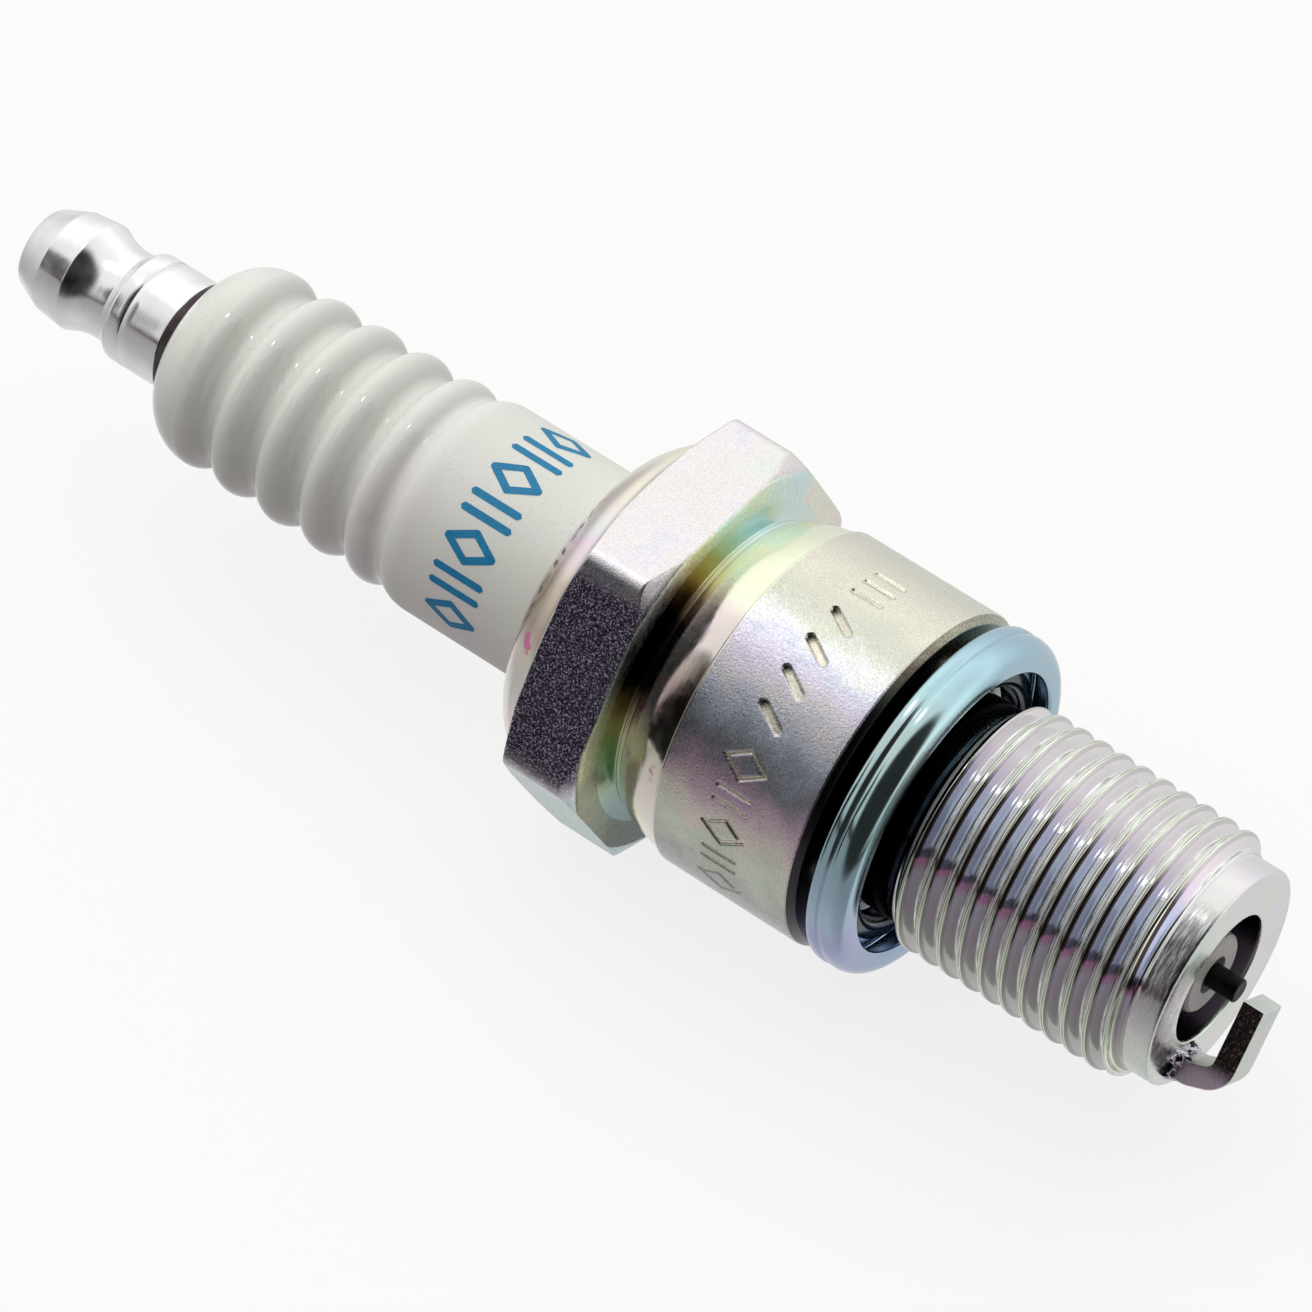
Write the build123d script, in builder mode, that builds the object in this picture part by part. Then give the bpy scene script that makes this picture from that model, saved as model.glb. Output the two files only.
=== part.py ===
"""Spark plug, 14 mm thread, 19 mm reach, gasket seat, resistor type.

Frame: millimetres, axis of the plug along X, firing end at +X, +Z up with one flat of the hex
facing up and one facing down. The origin is on the axis, in the plane of the gasket seat.
Profiles of turned pieces are drawn in the XY plane, with X along the plug and Y as the radius.
"""
from build123d import *
from build123d.topology import SkipClean
import math
import os

os.makedirs("parts", exist_ok=True)

# ---- driving dimensions -------------------------------------------------------------------
thread_r = 6.97           # crest radius of the M14 x 1.25 thread
thread_pitch = 1.25
thread_crest = 0.16       # flat left on each crest
thread_root_r = 6.24
groove_start_x = 2.31     # where the thread groove starts to wind, above the axis
thread_turns = 12
thread_start_x = 3.6      # end of the neck
thread_end_x = 17.35      # start of the rim
reach = 19.0              # seat plane to the rim's face
thread_bed_r = 5.3        # the threaded ring reaches this far into the shell's wall
thread_lead_in = 0.75     # the blank rises to the crest over this length
thread_lead_out = 0.6
thread_overlap = 0.1      # the wall under the threaded ring stands this far below the rim
neck_r = 6.12
neck_fillet = 0.35
rim_r = 6.1
rim_chamfer = 0.25
crest_sectors = 12        # the thread blank is built as this many equal wedges
flank_slope = math.tan(math.pi / 6)
cut_over = 0.15           # how far a cutting profile stands out of what it cuts

seat_barrel_r = 9.58
seat_barrel_x = -8.55     # end of the barrel on the hex side
seat_chamfer = 0.42
groove_r = 8.12           # bottom of the turned groove beside the hex
groove_fillet = 0.4
groove_lip_x = -11.72
groove_lip_r = 8.4
groove_lip_length = 0.22
groove_lip_fall = 0.02
shoulder_mid = (-10.15, 8.96)
barrel_step_x = 0.2       # small turned step where the shoulder meets the barrel
barrel_step_r = 0.13

hex_af = 20.8             # across flats
hex_front_x = -12.3
hex_back_x = -16.8
hex_corner_r = 0.9
hex_chamfer_x = 0.62      # length of the turned chamfer at the hex's corners
hex_back_cone_r = 10.5    # radius where that chamfer starts on the back face
hex_front_cone_r = 10.8
hex_core_r = 9.1          # the hex is a ring around this radius
under_hex_r = 9.8         # solid of the shell inside the hex

crimp_base_x = -17.2
crimp_base_r = 9.6
lip_inner = (-18.85, 6.12)
lip_crown = (-19.28, 6.7)
lip_shoulder = (-19.3, 7.5)
lip_flank = (-18.62, 8.78)
lip_bore_x = -17.75
lip_hollow = (-18.5, 7.2)

shell_bore_r = 7.55       # around the insulator's large body
shell_step_r = 4.75       # inside the thread
mouth_r = 3.6             # inside the firing end
mouth_chamfer = 0.18
ledge_x = 12.0            # lower end of the conical ledge that carries the insulator
ledge_length = 1.0
step_x = -1.5             # the bore widens here towards the hex
step_length = 2.2

insulator_r = 6.0
insulator_body_r = 7.45
insulator_top_x = -45.5
insulator_nose_x = 18.6
insulator_nose_r = 2.2
insulator_top_r = 3.2
insulator_neck_r = 4.62   # inside the thread
nose_root_r = 3.2
body_top_x = -13.9        # shoulder under the talc
body_shoulder = 0.9       # length of the conical shoulders of the large body
neck_start_x = -2.1       # the body narrows to the neck inside the thread here
nose_chamfer = 0.14
barrel_shoulder_x = -27.9 # the smooth barrel starts here
barrel_shoulder_r = 2.2
insulator_bore_r = 2.05
insulator_step_x = 3.0    # the bore narrows here to carry the electrode's head
insulator_tip_bore_r = 1.05
bore_step_length = 0.6

rib_count = 5
rib_pitch = 2.96
rib_first_x = -30.72      # the rib nearest the hex
rib_r = 5.86
rib_taper = 0.055         # each rib is this much smaller than the one before
rib_crest_r = 1.05
rib_groove_r = 0.6

terminal_r = 3.12
terminal_neck_r = 2.6
terminal_base_x = -46.0
terminal_tip_x = -55.9
terminal_tip_r = 2.35
terminal_chamfer = 0.1
terminal_collar_x = -49.3
terminal_neck_x = (-51.2, -50.0)
collar_round = (0.34, 0.2)  # how far the collar's rounded edge falls, along X and in radius
neck_flare = (0.72, 0.17)
tip_bevel = (0.45, 0.12)
tip_round = (0.12, 0.4)
bulb_x = (-53.7, -52.75)
score_x = -48.56          # fine turned line round the collar
score_half = 0.08
score_depth = 0.05
nut_bore_end_x = -53.6
drill_point = 0.5         # cone at the end of the nut's bore
stud_thread_r = 2.0       # M4 x 0.7
stud_pitch = 0.7
stud_clearance = 0.06     # between the stud's crests and the nut's plain bore
stud_tip_x = -53.2
stud_root_r = 1.57
stud_crest = 0.09
stud_turns = 11
stud_relief_x = -46.5
stud_relief_r = 1.5
stud_relief_slope = 0.3
stud_point = 0.4
flange_x = -45.97
flange_r = 3.3
flange_taper = 0.08
stud_shank_r = 2.0
stud_end_x = -13.0
grip_x = -17.2            # ribbed lower end of the stud
grip_r = 1.8
grip_pitch = 0.75
grip_count = 5
grip_depth = 0.3
grip_slope = 0.15
grip_floor = 0.3
glass_top_x = -17.0

electrode_tip_r = 0.65
electrode_tip_x = 20.2
electrode_stem_r = 1.0
electrode_head_r = 1.85
electrode_head_x = 1.6
core_end_x = 16.5
electrode_neck_x = 18.2   # the stem narrows to the fine tip here
electrode_neck_length = 0.3
electrode_tip_chamfer = 0.06
head_land = 0.08          # the head's cylinder runs on this far past the insulator's step
head_cone = 0.48
core_r = 0.55

resistor_x = (-9.5, -2.5)
seal_gap = 0.02

packing_thickness = 0.3   # conical washer under the insulator's lower shoulder
packing_span = (0.15, 0.92)  # its ends, as shares of the conical ledge
wire_r = 0.74
lower_wire_x = -14.3
upper_wire_x = -17.75

gasket_x = 0.72           # back face of the gasket, floating on the neck
gasket_depth = 2.25
gasket_r = 9.63
gasket_inner_r = 6.7
gasket_lip_r = 8.05
gasket_sheet = 0.34
gasket_fold_r = 7.6       # free edge of the sheet, folded inside
gasket_fold_x = 0.5
gasket_crease_x = 0.98    # crease between the two outer beads, from the back face
gasket_crease_width = 0.19
gasket_crease_depth = 0.28
gasket_front_drop = 0.1   # the front bead is this much smaller than the back one
gasket_bend_r = 0.25
gasket_bead_r = 0.34
gasket_crease_r = 0.1
gasket_front_r = 0.85

strap_angle = 237.5       # degrees from +Y towards +Z, where the strap stands on the rim
strap_width = 2.2
strap_thickness = 1.2
strap_x = 21.53           # middle of the strap where it crosses the firing end
strap_foot_y = 4.72
strap_end_y = -0.1
strap_bend_r = 1.1
strap_kick_x = 0.9        # length that stands straight on the rim
strap_kick_y = 0.55       # lean towards the axis after that
strap_kick_r = 0.9
strap_edge_r = 0.1
flash_height = 0.28
flash_size = (1.65, 2.6)  # footprint of the weld flash, radially and across
flash_corner_r = 0.25
flash_taper = 18


def tangent_centre(centre_a, radius_a, centre_b, radius_b, radius):
    """Centre of a circle that touches two others from outside, above the line between them."""
    ax, ay = centre_a
    bx, by = centre_b
    span = math.hypot(bx - ax, by - ay)
    reach_a = radius_a + radius
    reach_b = radius_b + radius
    along = (span**2 + reach_a**2 - reach_b**2) / (2 * span)
    height = math.sqrt(reach_a**2 - along**2)
    ux, uy = (bx - ax) / span, (by - ay) / span
    if ux < 0:
        return (ax + ux * along + uy * height, ay + uy * along - ux * height)
    return (ax + ux * along - uy * height, ay + uy * along + ux * height)


def between(centre_a, radius_a, centre_b, radius_b):
    """The point where two touching circles meet."""
    share = radius_a / (radius_a + radius_b)
    return (
        centre_a[0] + (centre_b[0] - centre_a[0]) * share,
        centre_a[1] + (centre_b[1] - centre_a[1]) * share,
    )


def arc_about(centre, start, end):
    """Add the shorter arc from start to end about a centre to the outline being drawn."""
    radius = math.hypot(start[0] - centre[0], start[1] - centre[1])
    mx = (start[0] + end[0]) / 2 - centre[0]
    my = (start[1] + end[1]) / 2 - centre[1]
    scale = radius / math.hypot(mx, my)
    ThreePointArc(start, (centre[0] + mx * scale, centre[1] + my * scale), end)


def thread_cutter(start_x, pitch, crest_r, root_r, crest):
    """One turn of a 60 degree V that winds along X, for a right-hand thread."""
    with BuildPart() as cutter:
        with BuildLine():
            turn = Helix(pitch, pitch, crest_r, center=(start_x, 0, 0), direction=(1, 0, 0))
        mouth = (pitch - crest) / 2
        root = mouth - (crest_r - root_r) * flank_slope
        with BuildSketch(Plane(turn @ 0, x_dir=(0, 0, 1), z_dir=turn % 0)):
            with BuildLine():
                Polyline(
                    (cut_over, -mouth),
                    (cut_over, mouth),
                    (0, mouth),
                    (root_r - crest_r, root),
                    (root_r - crest_r, -root),
                    (0, -mouth),
                    close=True,
                )
            make_face()
        sweep(path=turn, is_frenet=True)
    return cutter.part


# ---- shell --------------------------------------------------------------------------------
with BuildPart() as hex_ring:
    with BuildSketch(Plane.YZ.offset(hex_back_x)) as hex_outline:
        RegularPolygon(hex_af / 2, 6, major_radius=False)
        fillet(hex_outline.vertices(), hex_corner_r)
    extrude(amount=hex_front_x - hex_back_x)
    # both ends are turned down to a cone, which cuts the corners only
    with BuildSketch(Plane.XY):
        corner_r = hex_af / 2 / math.cos(math.pi / 6)
        with BuildLine():
            Polyline(
                (hex_back_x, hex_core_r),
                (hex_back_x, hex_back_cone_r),
                (hex_back_x + hex_chamfer_x, corner_r),
                (hex_front_x - hex_chamfer_x, corner_r),
                (hex_front_x, hex_front_cone_r),
                (hex_front_x, hex_core_r),
                close=True,
            )
        make_face()
    revolve(axis=Axis.X, mode=Mode.INTERSECT)

# equal wedges kept apart, so that every crest is made of short faces
with SkipClean(), BuildPart() as thread_ring:
    with BuildSketch(Plane.XY):
        with BuildLine():
            Polyline(
                (thread_start_x, thread_bed_r),
                (thread_start_x, neck_r),
                (thread_start_x + thread_lead_in, thread_r),
                (thread_end_x - thread_lead_out, thread_r),
                (thread_end_x, rim_r),
                (thread_end_x, thread_bed_r),
                close=True,
            )
        make_face()
    wedge = revolve(axis=Axis.X, revolution_arc=360 / crest_sectors)
    for sector in range(1, crest_sectors):
        add(wedge.rotate(Axis.X, sector * 360 / crest_sectors))
    for turn in range(thread_turns):
        groove_x = groove_start_x + turn * thread_pitch
        groove = thread_cutter(groove_x, thread_pitch, thread_r, thread_root_r, thread_crest)
        add(groove, mode=Mode.SUBTRACT)

with SkipClean(), BuildPart() as shell:
    with BuildSketch(Plane.XY):
        with BuildLine():
            # crimped lip, from the insulator outwards to the back of the hex
            ThreePointArc(lip_inner, lip_crown, lip_shoulder)
            ThreePointArc(lip_shoulder, lip_flank, (crimp_base_x, crimp_base_r))
            Line((crimp_base_x, crimp_base_r), (hex_back_x, under_hex_r))
            # solid under the hex, then the turned groove and its lip
            Polyline(
                (hex_back_x, under_hex_r),
                (hex_front_x, under_hex_r),
                (hex_front_x, groove_r + groove_fillet),
            )
            RadiusArc(
                (hex_front_x, groove_r + groove_fillet),
                (hex_front_x + groove_fillet, groove_r),
                groove_fillet,
            )
            Polyline(
                (hex_front_x + groove_fillet, groove_r),
                (groove_lip_x, groove_lip_r),
                (groove_lip_x + groove_lip_length, groove_lip_r - groove_lip_fall),
            )
            # bulged shoulder up to the seat barrel
            ThreePointArc(
                (groove_lip_x + groove_lip_length, groove_lip_r - groove_lip_fall),
                shoulder_mid,
                (seat_barrel_x - barrel_step_x, seat_barrel_r - barrel_step_r),
            )
            Polyline(
                (seat_barrel_x - barrel_step_x, seat_barrel_r - barrel_step_r),
                (seat_barrel_x, seat_barrel_r),
                (-seat_chamfer, seat_barrel_r),
                (0, seat_barrel_r - seat_chamfer),
                (0, neck_r + neck_fillet),
            )
            RadiusArc((0, neck_r + neck_fillet), (neck_fillet, neck_r), neck_fillet)
            Polyline(
                (neck_fillet, neck_r),
                (thread_start_x, neck_r),
                (thread_start_x, rim_r - thread_overlap),
                (thread_end_x, rim_r - thread_overlap),
                (thread_end_x, rim_r),
                (reach - rim_chamfer, rim_r),
                (reach, rim_r - rim_chamfer),
                (reach, mouth_r + mouth_chamfer),
                (reach - mouth_chamfer, mouth_r),
                (ledge_x, mouth_r),
                (ledge_x - ledge_length, shell_step_r),
                (step_x, shell_step_r),
                (step_x - step_length, shell_bore_r),
                (lip_bore_x, shell_bore_r),
            )
            ThreePointArc((lip_bore_x, shell_bore_r), lip_hollow, lip_inner)
        make_face()
    revolve(axis=Axis.X)
    add(hex_ring.part)
    add(thread_ring.part)
shell.part.label = "shell"
export_step(shell.part, "parts/shell.step")

# ---- insulator ----------------------------------------------------------------------------
rib_centres = [
    (rib_first_x - i * rib_pitch, rib_r - i * rib_taper - rib_crest_r) for i in range(rib_count)
]
head_centre = rib_centres[-1]
head_crest = (head_centre[0], head_centre[1] + rib_crest_r)
head_drop = head_crest[1] - insulator_top_r
head_run = head_crest[0] - insulator_top_x
dome_r = (head_run**2 + head_drop**2) / (2 * head_drop)
dome_centre = (head_crest[0], head_crest[1] - dome_r)
shoulder_centre = (barrel_shoulder_x, insulator_r - barrel_shoulder_r)
seat_slope = (shell_step_r - mouth_r) / ledge_length
seat_length = math.hypot(ledge_length, shell_step_r - mouth_r)
packing_dx = -packing_thickness * (shell_step_r - mouth_r) / seat_length
packing_dr = -packing_thickness * ledge_length / seat_length
seat_x = ledge_x - ledge_length + packing_dx
seat_r = shell_step_r + packing_dr

with BuildPart() as insulator:
    with BuildSketch(Plane.XY):
        with BuildLine():
            Polyline(
                (insulator_top_x, insulator_bore_r),
                (insulator_top_x, insulator_top_r),
            )
            arc_about(dome_centre, (insulator_top_x, insulator_top_r), head_crest)
            here = head_crest
            for i in range(rib_count - 1, -1, -1):
                crest = rib_centres[i]
                if i > 0:
                    following, following_r = rib_centres[i - 1], rib_crest_r
                else:
                    following, following_r = shoulder_centre, barrel_shoulder_r
                groove = tangent_centre(crest, rib_crest_r, following, following_r, rib_groove_r)
                leave = between(crest, rib_crest_r, groove, rib_groove_r)
                land = between(groove, rib_groove_r, following, following_r)
                arc_about(crest, here, leave)
                arc_about(groove, leave, land)
                here = land
            arc_about(shoulder_centre, here, (barrel_shoulder_x, insulator_r))
            Polyline(
                (barrel_shoulder_x, insulator_r),
                (body_top_x, insulator_r),
                (body_top_x + body_shoulder, insulator_body_r),
                (step_x - step_length - body_shoulder, insulator_body_r),
                (neck_start_x, insulator_neck_r),
                (seat_x + (seat_r - insulator_neck_r) / seat_slope, insulator_neck_r),
                (seat_x + (seat_r - nose_root_r) / seat_slope, nose_root_r),
                (insulator_nose_x - nose_chamfer, insulator_nose_r),
                (insulator_nose_x, insulator_nose_r - nose_chamfer),
                (insulator_nose_x, insulator_tip_bore_r),
                (insulator_step_x + bore_step_length, insulator_tip_bore_r),
                (insulator_step_x, insulator_bore_r),
                (insulator_top_x, insulator_bore_r),
            )
        make_face()
    revolve(axis=Axis.X)
insulator.part.label = "insulator"
export_step(insulator.part, "parts/insulator.step")

# ---- seals between insulator and shell ----------------------------------------------------
with BuildPart() as seat_packing:
    with BuildSketch(Plane.XY):
        with BuildLine():
            ends = [(ledge_x - ledge_length * t, mouth_r + ledge_length * t * seat_slope)
                    for t in packing_span]
            Polyline(
                ends[0],
                ends[1],
                (ends[1][0] + packing_dx, ends[1][1] + packing_dr),
                (ends[0][0] + packing_dx, ends[0][1] + packing_dr),
                close=True,
            )
        make_face()
    revolve(axis=Axis.X)
seat_packing.part.label = "seat_packing"
export_step(seat_packing.part, "parts/seat_packing.step")

wire_mid_r = (insulator_r + shell_bore_r) / 2
with BuildPart() as lower_packing_ring:
    with BuildSketch(Plane.XY):
        with Locations((lower_wire_x, wire_mid_r)):
            Circle(wire_r)
    revolve(axis=Axis.X)
lower_packing_ring.part.label = "lower_packing_ring"
export_step(lower_packing_ring.part, "parts/lower_packing_ring.step")

with BuildPart() as upper_packing_ring:
    with BuildSketch(Plane.XY):
        with Locations((upper_wire_x, wire_mid_r)):
            Circle(wire_r)
    revolve(axis=Axis.X)
upper_packing_ring.part.label = "upper_packing_ring"
export_step(upper_packing_ring.part, "parts/upper_packing_ring.step")

with BuildPart() as talc_ring:
    with BuildSketch(Plane.XY):
        with BuildLine():
            Polyline(
                (upper_wire_x + wire_r + seal_gap, insulator_r + seal_gap),
                (upper_wire_x + wire_r + seal_gap, shell_bore_r - seal_gap),
                (lower_wire_x - wire_r - seal_gap, shell_bore_r - seal_gap),
                (lower_wire_x - wire_r - seal_gap, insulator_r + seal_gap),
                close=True,
            )
        make_face()
    revolve(axis=Axis.X)
talc_ring.part.label = "talc_ring"
export_step(talc_ring.part, "parts/talc_ring.step")

# ---- terminal nut and stud ----------------------------------------------------------------
with BuildPart() as terminal_nut:
    with BuildSketch(Plane.XY):
        with BuildLine():
            Polyline(
                (terminal_base_x, stud_thread_r + stud_clearance),
                (terminal_base_x, terminal_r - terminal_chamfer),
                (terminal_base_x - terminal_chamfer, terminal_r),
                (score_x + score_half, terminal_r),
                (score_x, terminal_r - score_depth),
                (score_x - score_half, terminal_r),
                (terminal_collar_x, terminal_r),
            )
            ThreePointArc(
                (terminal_collar_x, terminal_r),
                (terminal_collar_x - collar_round[0], terminal_r - collar_round[1]),
                (terminal_neck_x[1], terminal_neck_r),
            )
            Line((terminal_neck_x[1], terminal_neck_r), (terminal_neck_x[0], terminal_neck_r))
            ThreePointArc(
                (terminal_neck_x[0], terminal_neck_r),
                (terminal_neck_x[0] - neck_flare[0], terminal_neck_r + neck_flare[1]),
                (bulb_x[1], terminal_r),
            )
            Polyline(
                (bulb_x[1], terminal_r),
                (bulb_x[0], terminal_r),
                (terminal_tip_x + tip_bevel[0], terminal_tip_r + tip_bevel[1]),
            )
            ThreePointArc(
                (terminal_tip_x + tip_bevel[0], terminal_tip_r + tip_bevel[1]),
                (terminal_tip_x + tip_round[0], terminal_tip_r - tip_bevel[1]),
                (terminal_tip_x, terminal_tip_r - tip_round[1]),
            )
            Polyline(
                (terminal_tip_x, terminal_tip_r - tip_round[1]),
                (terminal_tip_x, 0),
                (nut_bore_end_x - drill_point, 0),
                (nut_bore_end_x, stud_thread_r + stud_clearance),
                (terminal_base_x, stud_thread_r + stud_clearance),
            )
        make_face()
    revolve(axis=Axis.X)
terminal_nut.part.label = "terminal_nut"
export_step(terminal_nut.part, "parts/terminal_nut.step")

with BuildPart() as terminal_stud:
    with BuildSketch(Plane.XY):
        with BuildLine():
            Polyline(
                (stud_tip_x, 0),
                (stud_tip_x, stud_root_r),
                (stud_tip_x + stud_point, stud_thread_r),
                (stud_relief_x - stud_relief_slope, stud_thread_r),
                (stud_relief_x, stud_relief_r),
                (flange_x, stud_relief_r),
                (flange_x, flange_r - flange_taper),
                (insulator_top_x, flange_r),
                (insulator_top_x, stud_shank_r),
                (grip_x, stud_shank_r),
            )
            # the ribbed end that the glass grips
            edge = grip_x
            for i in range(grip_count):
                Polyline(
                    (edge, stud_shank_r if i == 0 else grip_r),
                    (edge + grip_slope, grip_r - grip_depth),
                    (edge + grip_slope + grip_floor, grip_r - grip_depth),
                    (edge + 2 * grip_slope + grip_floor, grip_r),
                    (edge + grip_pitch, grip_r),
                )
                edge += grip_pitch
            Polyline(
                (edge, grip_r),
                (stud_end_x - stud_point, grip_r),
                (stud_end_x, grip_r - stud_point),
                (stud_end_x, 0),
                (stud_tip_x, 0),
            )
        make_face()
    revolve(axis=Axis.X)
    for turn in range(stud_turns):
        groove_x = stud_tip_x + (turn - 1) * stud_pitch
        groove = thread_cutter(groove_x, stud_pitch, stud_thread_r, stud_root_r, stud_crest)
        add(groove, mode=Mode.SUBTRACT)
terminal_stud.part.label = "terminal_stud"
export_step(terminal_stud.part, "parts/terminal_stud.step")

# ---- conductor inside the insulator, from the stud to the spark gap -----------------------
with BuildPart() as upper_glass_seal:
    with BuildSketch(Plane.XY):
        with Locations(((glass_top_x + resistor_x[0]) / 2, insulator_bore_r / 2)):
            Rectangle(resistor_x[0] - glass_top_x, insulator_bore_r)
    revolve(axis=Axis.X)
    add(terminal_stud.part, mode=Mode.SUBTRACT)
upper_glass_seal.part.label = "upper_glass_seal"
export_step(upper_glass_seal.part, "parts/upper_glass_seal.step")

with BuildPart() as resistor:
    with BuildSketch(Plane.XY):
        with Locations((sum(resistor_x) / 2, (insulator_bore_r - seal_gap) / 2)):
            Rectangle(resistor_x[1] - resistor_x[0], insulator_bore_r - seal_gap)
    revolve(axis=Axis.X)
resistor.part.label = "resistor"
export_step(resistor.part, "parts/resistor.step")

with BuildPart() as centre_electrode:
    with BuildSketch(Plane.XY):
        with BuildLine():
            Polyline(
                (electrode_head_x, core_r),
                (electrode_head_x, electrode_head_r),
                (insulator_step_x + head_land, electrode_head_r),
                (insulator_step_x + head_land + head_cone, electrode_stem_r),
                (electrode_neck_x, electrode_stem_r),
                (electrode_neck_x + electrode_neck_length, electrode_tip_r),
                (electrode_tip_x - electrode_tip_chamfer, electrode_tip_r),
                (electrode_tip_x, electrode_tip_r - electrode_tip_chamfer),
                (electrode_tip_x, 0),
                (core_end_x, 0),
                (core_end_x, core_r),
                close=True,
            )
        make_face()
    revolve(axis=Axis.X)
centre_electrode.part.label = "centre_electrode"
export_step(centre_electrode.part, "parts/centre_electrode.step")

with BuildPart() as electrode_core:
    with BuildSketch(Plane.XY):
        with Locations(((electrode_head_x + core_end_x) / 2, core_r / 2)):
            Rectangle(core_end_x - electrode_head_x, core_r)
    revolve(axis=Axis.X)
electrode_core.part.label = "electrode_core"
export_step(electrode_core.part, "parts/electrode_core.step")

with BuildPart() as lower_glass_seal:
    with BuildSketch(Plane.XY):
        with BuildLine():
            Polyline(
                (resistor_x[1], 0),
                (resistor_x[1], insulator_bore_r),
                (insulator_step_x, insulator_bore_r),
                (insulator_step_x, electrode_head_r),
                (electrode_head_x, electrode_head_r),
                (electrode_head_x, 0),
                close=True,
            )
        make_face()
    revolve(axis=Axis.X)
lower_glass_seal.part.label = "lower_glass_seal"
export_step(lower_glass_seal.part, "parts/lower_glass_seal.step")

# ---- ground electrode ---------------------------------------------------------------------
strap_cos = math.cos(math.radians(strap_angle))
strap_sin = math.sin(math.radians(strap_angle))
strap_plane = Plane((0, 0, 0), x_dir=(1, 0, 0), z_dir=(0, -strap_sin, strap_cos))
with BuildPart() as ground_electrode:
    # local X runs along the plug, local Y outwards over the rim
    with BuildSketch(strap_plane):
        with BuildLine():
            FilletPolyline(
                (reach, strap_foot_y),
                (reach + strap_kick_x, strap_foot_y),
                (strap_x, strap_foot_y - strap_kick_y),
                (strap_x, strap_end_y),
                radius=[strap_kick_r, strap_bend_r],
            )
        trace(line_width=strap_thickness)
    extrude(amount=strap_width / 2, both=True)
    fillet(ground_electrode.edges().filter_by(GeomType.LINE).group_by(Axis.X)[-1], strap_edge_r)
    # flash squeezed out by the weld
    with BuildSketch(Plane.YZ.offset(reach)):
        with Locations(Location((strap_foot_y * strap_cos, strap_foot_y * strap_sin), strap_angle)):
            RectangleRounded(*flash_size, flash_corner_r)
    extrude(amount=flash_height, taper=flash_taper)
ground_electrode.part.label = "ground_electrode"
export_step(ground_electrode.part, "parts/ground_electrode.step")

# ---- gasket -------------------------------------------------------------------------------
sheet_half = gasket_sheet / 2
gasket_front_x = gasket_x + gasket_depth
with BuildPart() as gasket:
    with BuildSketch(Plane.XY):
        with BuildLine():
            # one strip rolled over on itself: inner fold, back, two outer beads, front lip
            FilletPolyline(
                (gasket_front_x - gasket_fold_x, gasket_fold_r),
                (gasket_front_x - gasket_fold_x, gasket_inner_r + sheet_half),
                (gasket_x + sheet_half, gasket_inner_r + sheet_half),
                (gasket_x + sheet_half, gasket_r - sheet_half),
                (gasket_x + gasket_crease_x - gasket_crease_width, gasket_r - sheet_half),
                (gasket_x + gasket_crease_x, gasket_r - sheet_half - gasket_crease_depth),
                (gasket_x + gasket_crease_x + gasket_crease_width, gasket_r - sheet_half),
                (gasket_front_x - sheet_half, gasket_r - sheet_half - gasket_front_drop),
                (gasket_front_x - sheet_half, gasket_lip_r),
                radius=[
                    gasket_bend_r,
                    gasket_bend_r,
                    gasket_bead_r,
                    gasket_crease_r,
                    gasket_crease_r,
                    gasket_crease_r,
                    gasket_front_r,
                ],
            )
        trace(line_width=gasket_sheet)
    revolve(axis=Axis.X)
gasket.part.label = "gasket"
export_step(gasket.part, "parts/gasket.step")
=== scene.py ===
"""Spark plug: the look of each piece, studio light and camera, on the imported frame.

Sizes are in millimetres, and MM turns them into Blender's metres. X runs along the plug: it is 0 at the
gasket seat and grows towards the rim. Angles round the plug are in degrees from +Y towards +Z.
"""
import bpy
import math
import numpy as np
from mathutils import Matrix, Vector


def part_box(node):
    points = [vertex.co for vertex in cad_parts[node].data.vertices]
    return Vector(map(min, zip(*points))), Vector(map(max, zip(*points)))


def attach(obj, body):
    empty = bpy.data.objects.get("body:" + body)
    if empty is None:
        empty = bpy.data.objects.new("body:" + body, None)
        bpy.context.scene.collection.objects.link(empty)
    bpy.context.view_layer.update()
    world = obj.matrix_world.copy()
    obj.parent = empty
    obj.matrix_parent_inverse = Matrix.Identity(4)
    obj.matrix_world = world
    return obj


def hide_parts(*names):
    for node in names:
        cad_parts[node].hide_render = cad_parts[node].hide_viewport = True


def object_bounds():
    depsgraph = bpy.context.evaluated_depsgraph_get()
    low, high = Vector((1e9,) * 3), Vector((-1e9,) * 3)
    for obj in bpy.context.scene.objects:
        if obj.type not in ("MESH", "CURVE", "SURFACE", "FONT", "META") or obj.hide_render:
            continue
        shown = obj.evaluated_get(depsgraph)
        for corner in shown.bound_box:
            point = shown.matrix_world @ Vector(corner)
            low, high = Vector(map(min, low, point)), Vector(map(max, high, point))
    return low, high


MM = 0.001
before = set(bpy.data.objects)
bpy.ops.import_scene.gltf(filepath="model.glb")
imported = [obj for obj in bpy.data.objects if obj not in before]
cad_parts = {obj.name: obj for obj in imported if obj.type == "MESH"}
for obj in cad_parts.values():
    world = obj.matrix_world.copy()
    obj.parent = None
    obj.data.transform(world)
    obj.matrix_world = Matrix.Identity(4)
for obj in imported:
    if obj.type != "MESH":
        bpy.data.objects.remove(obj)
cad_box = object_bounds()
scene = bpy.context.scene

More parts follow.
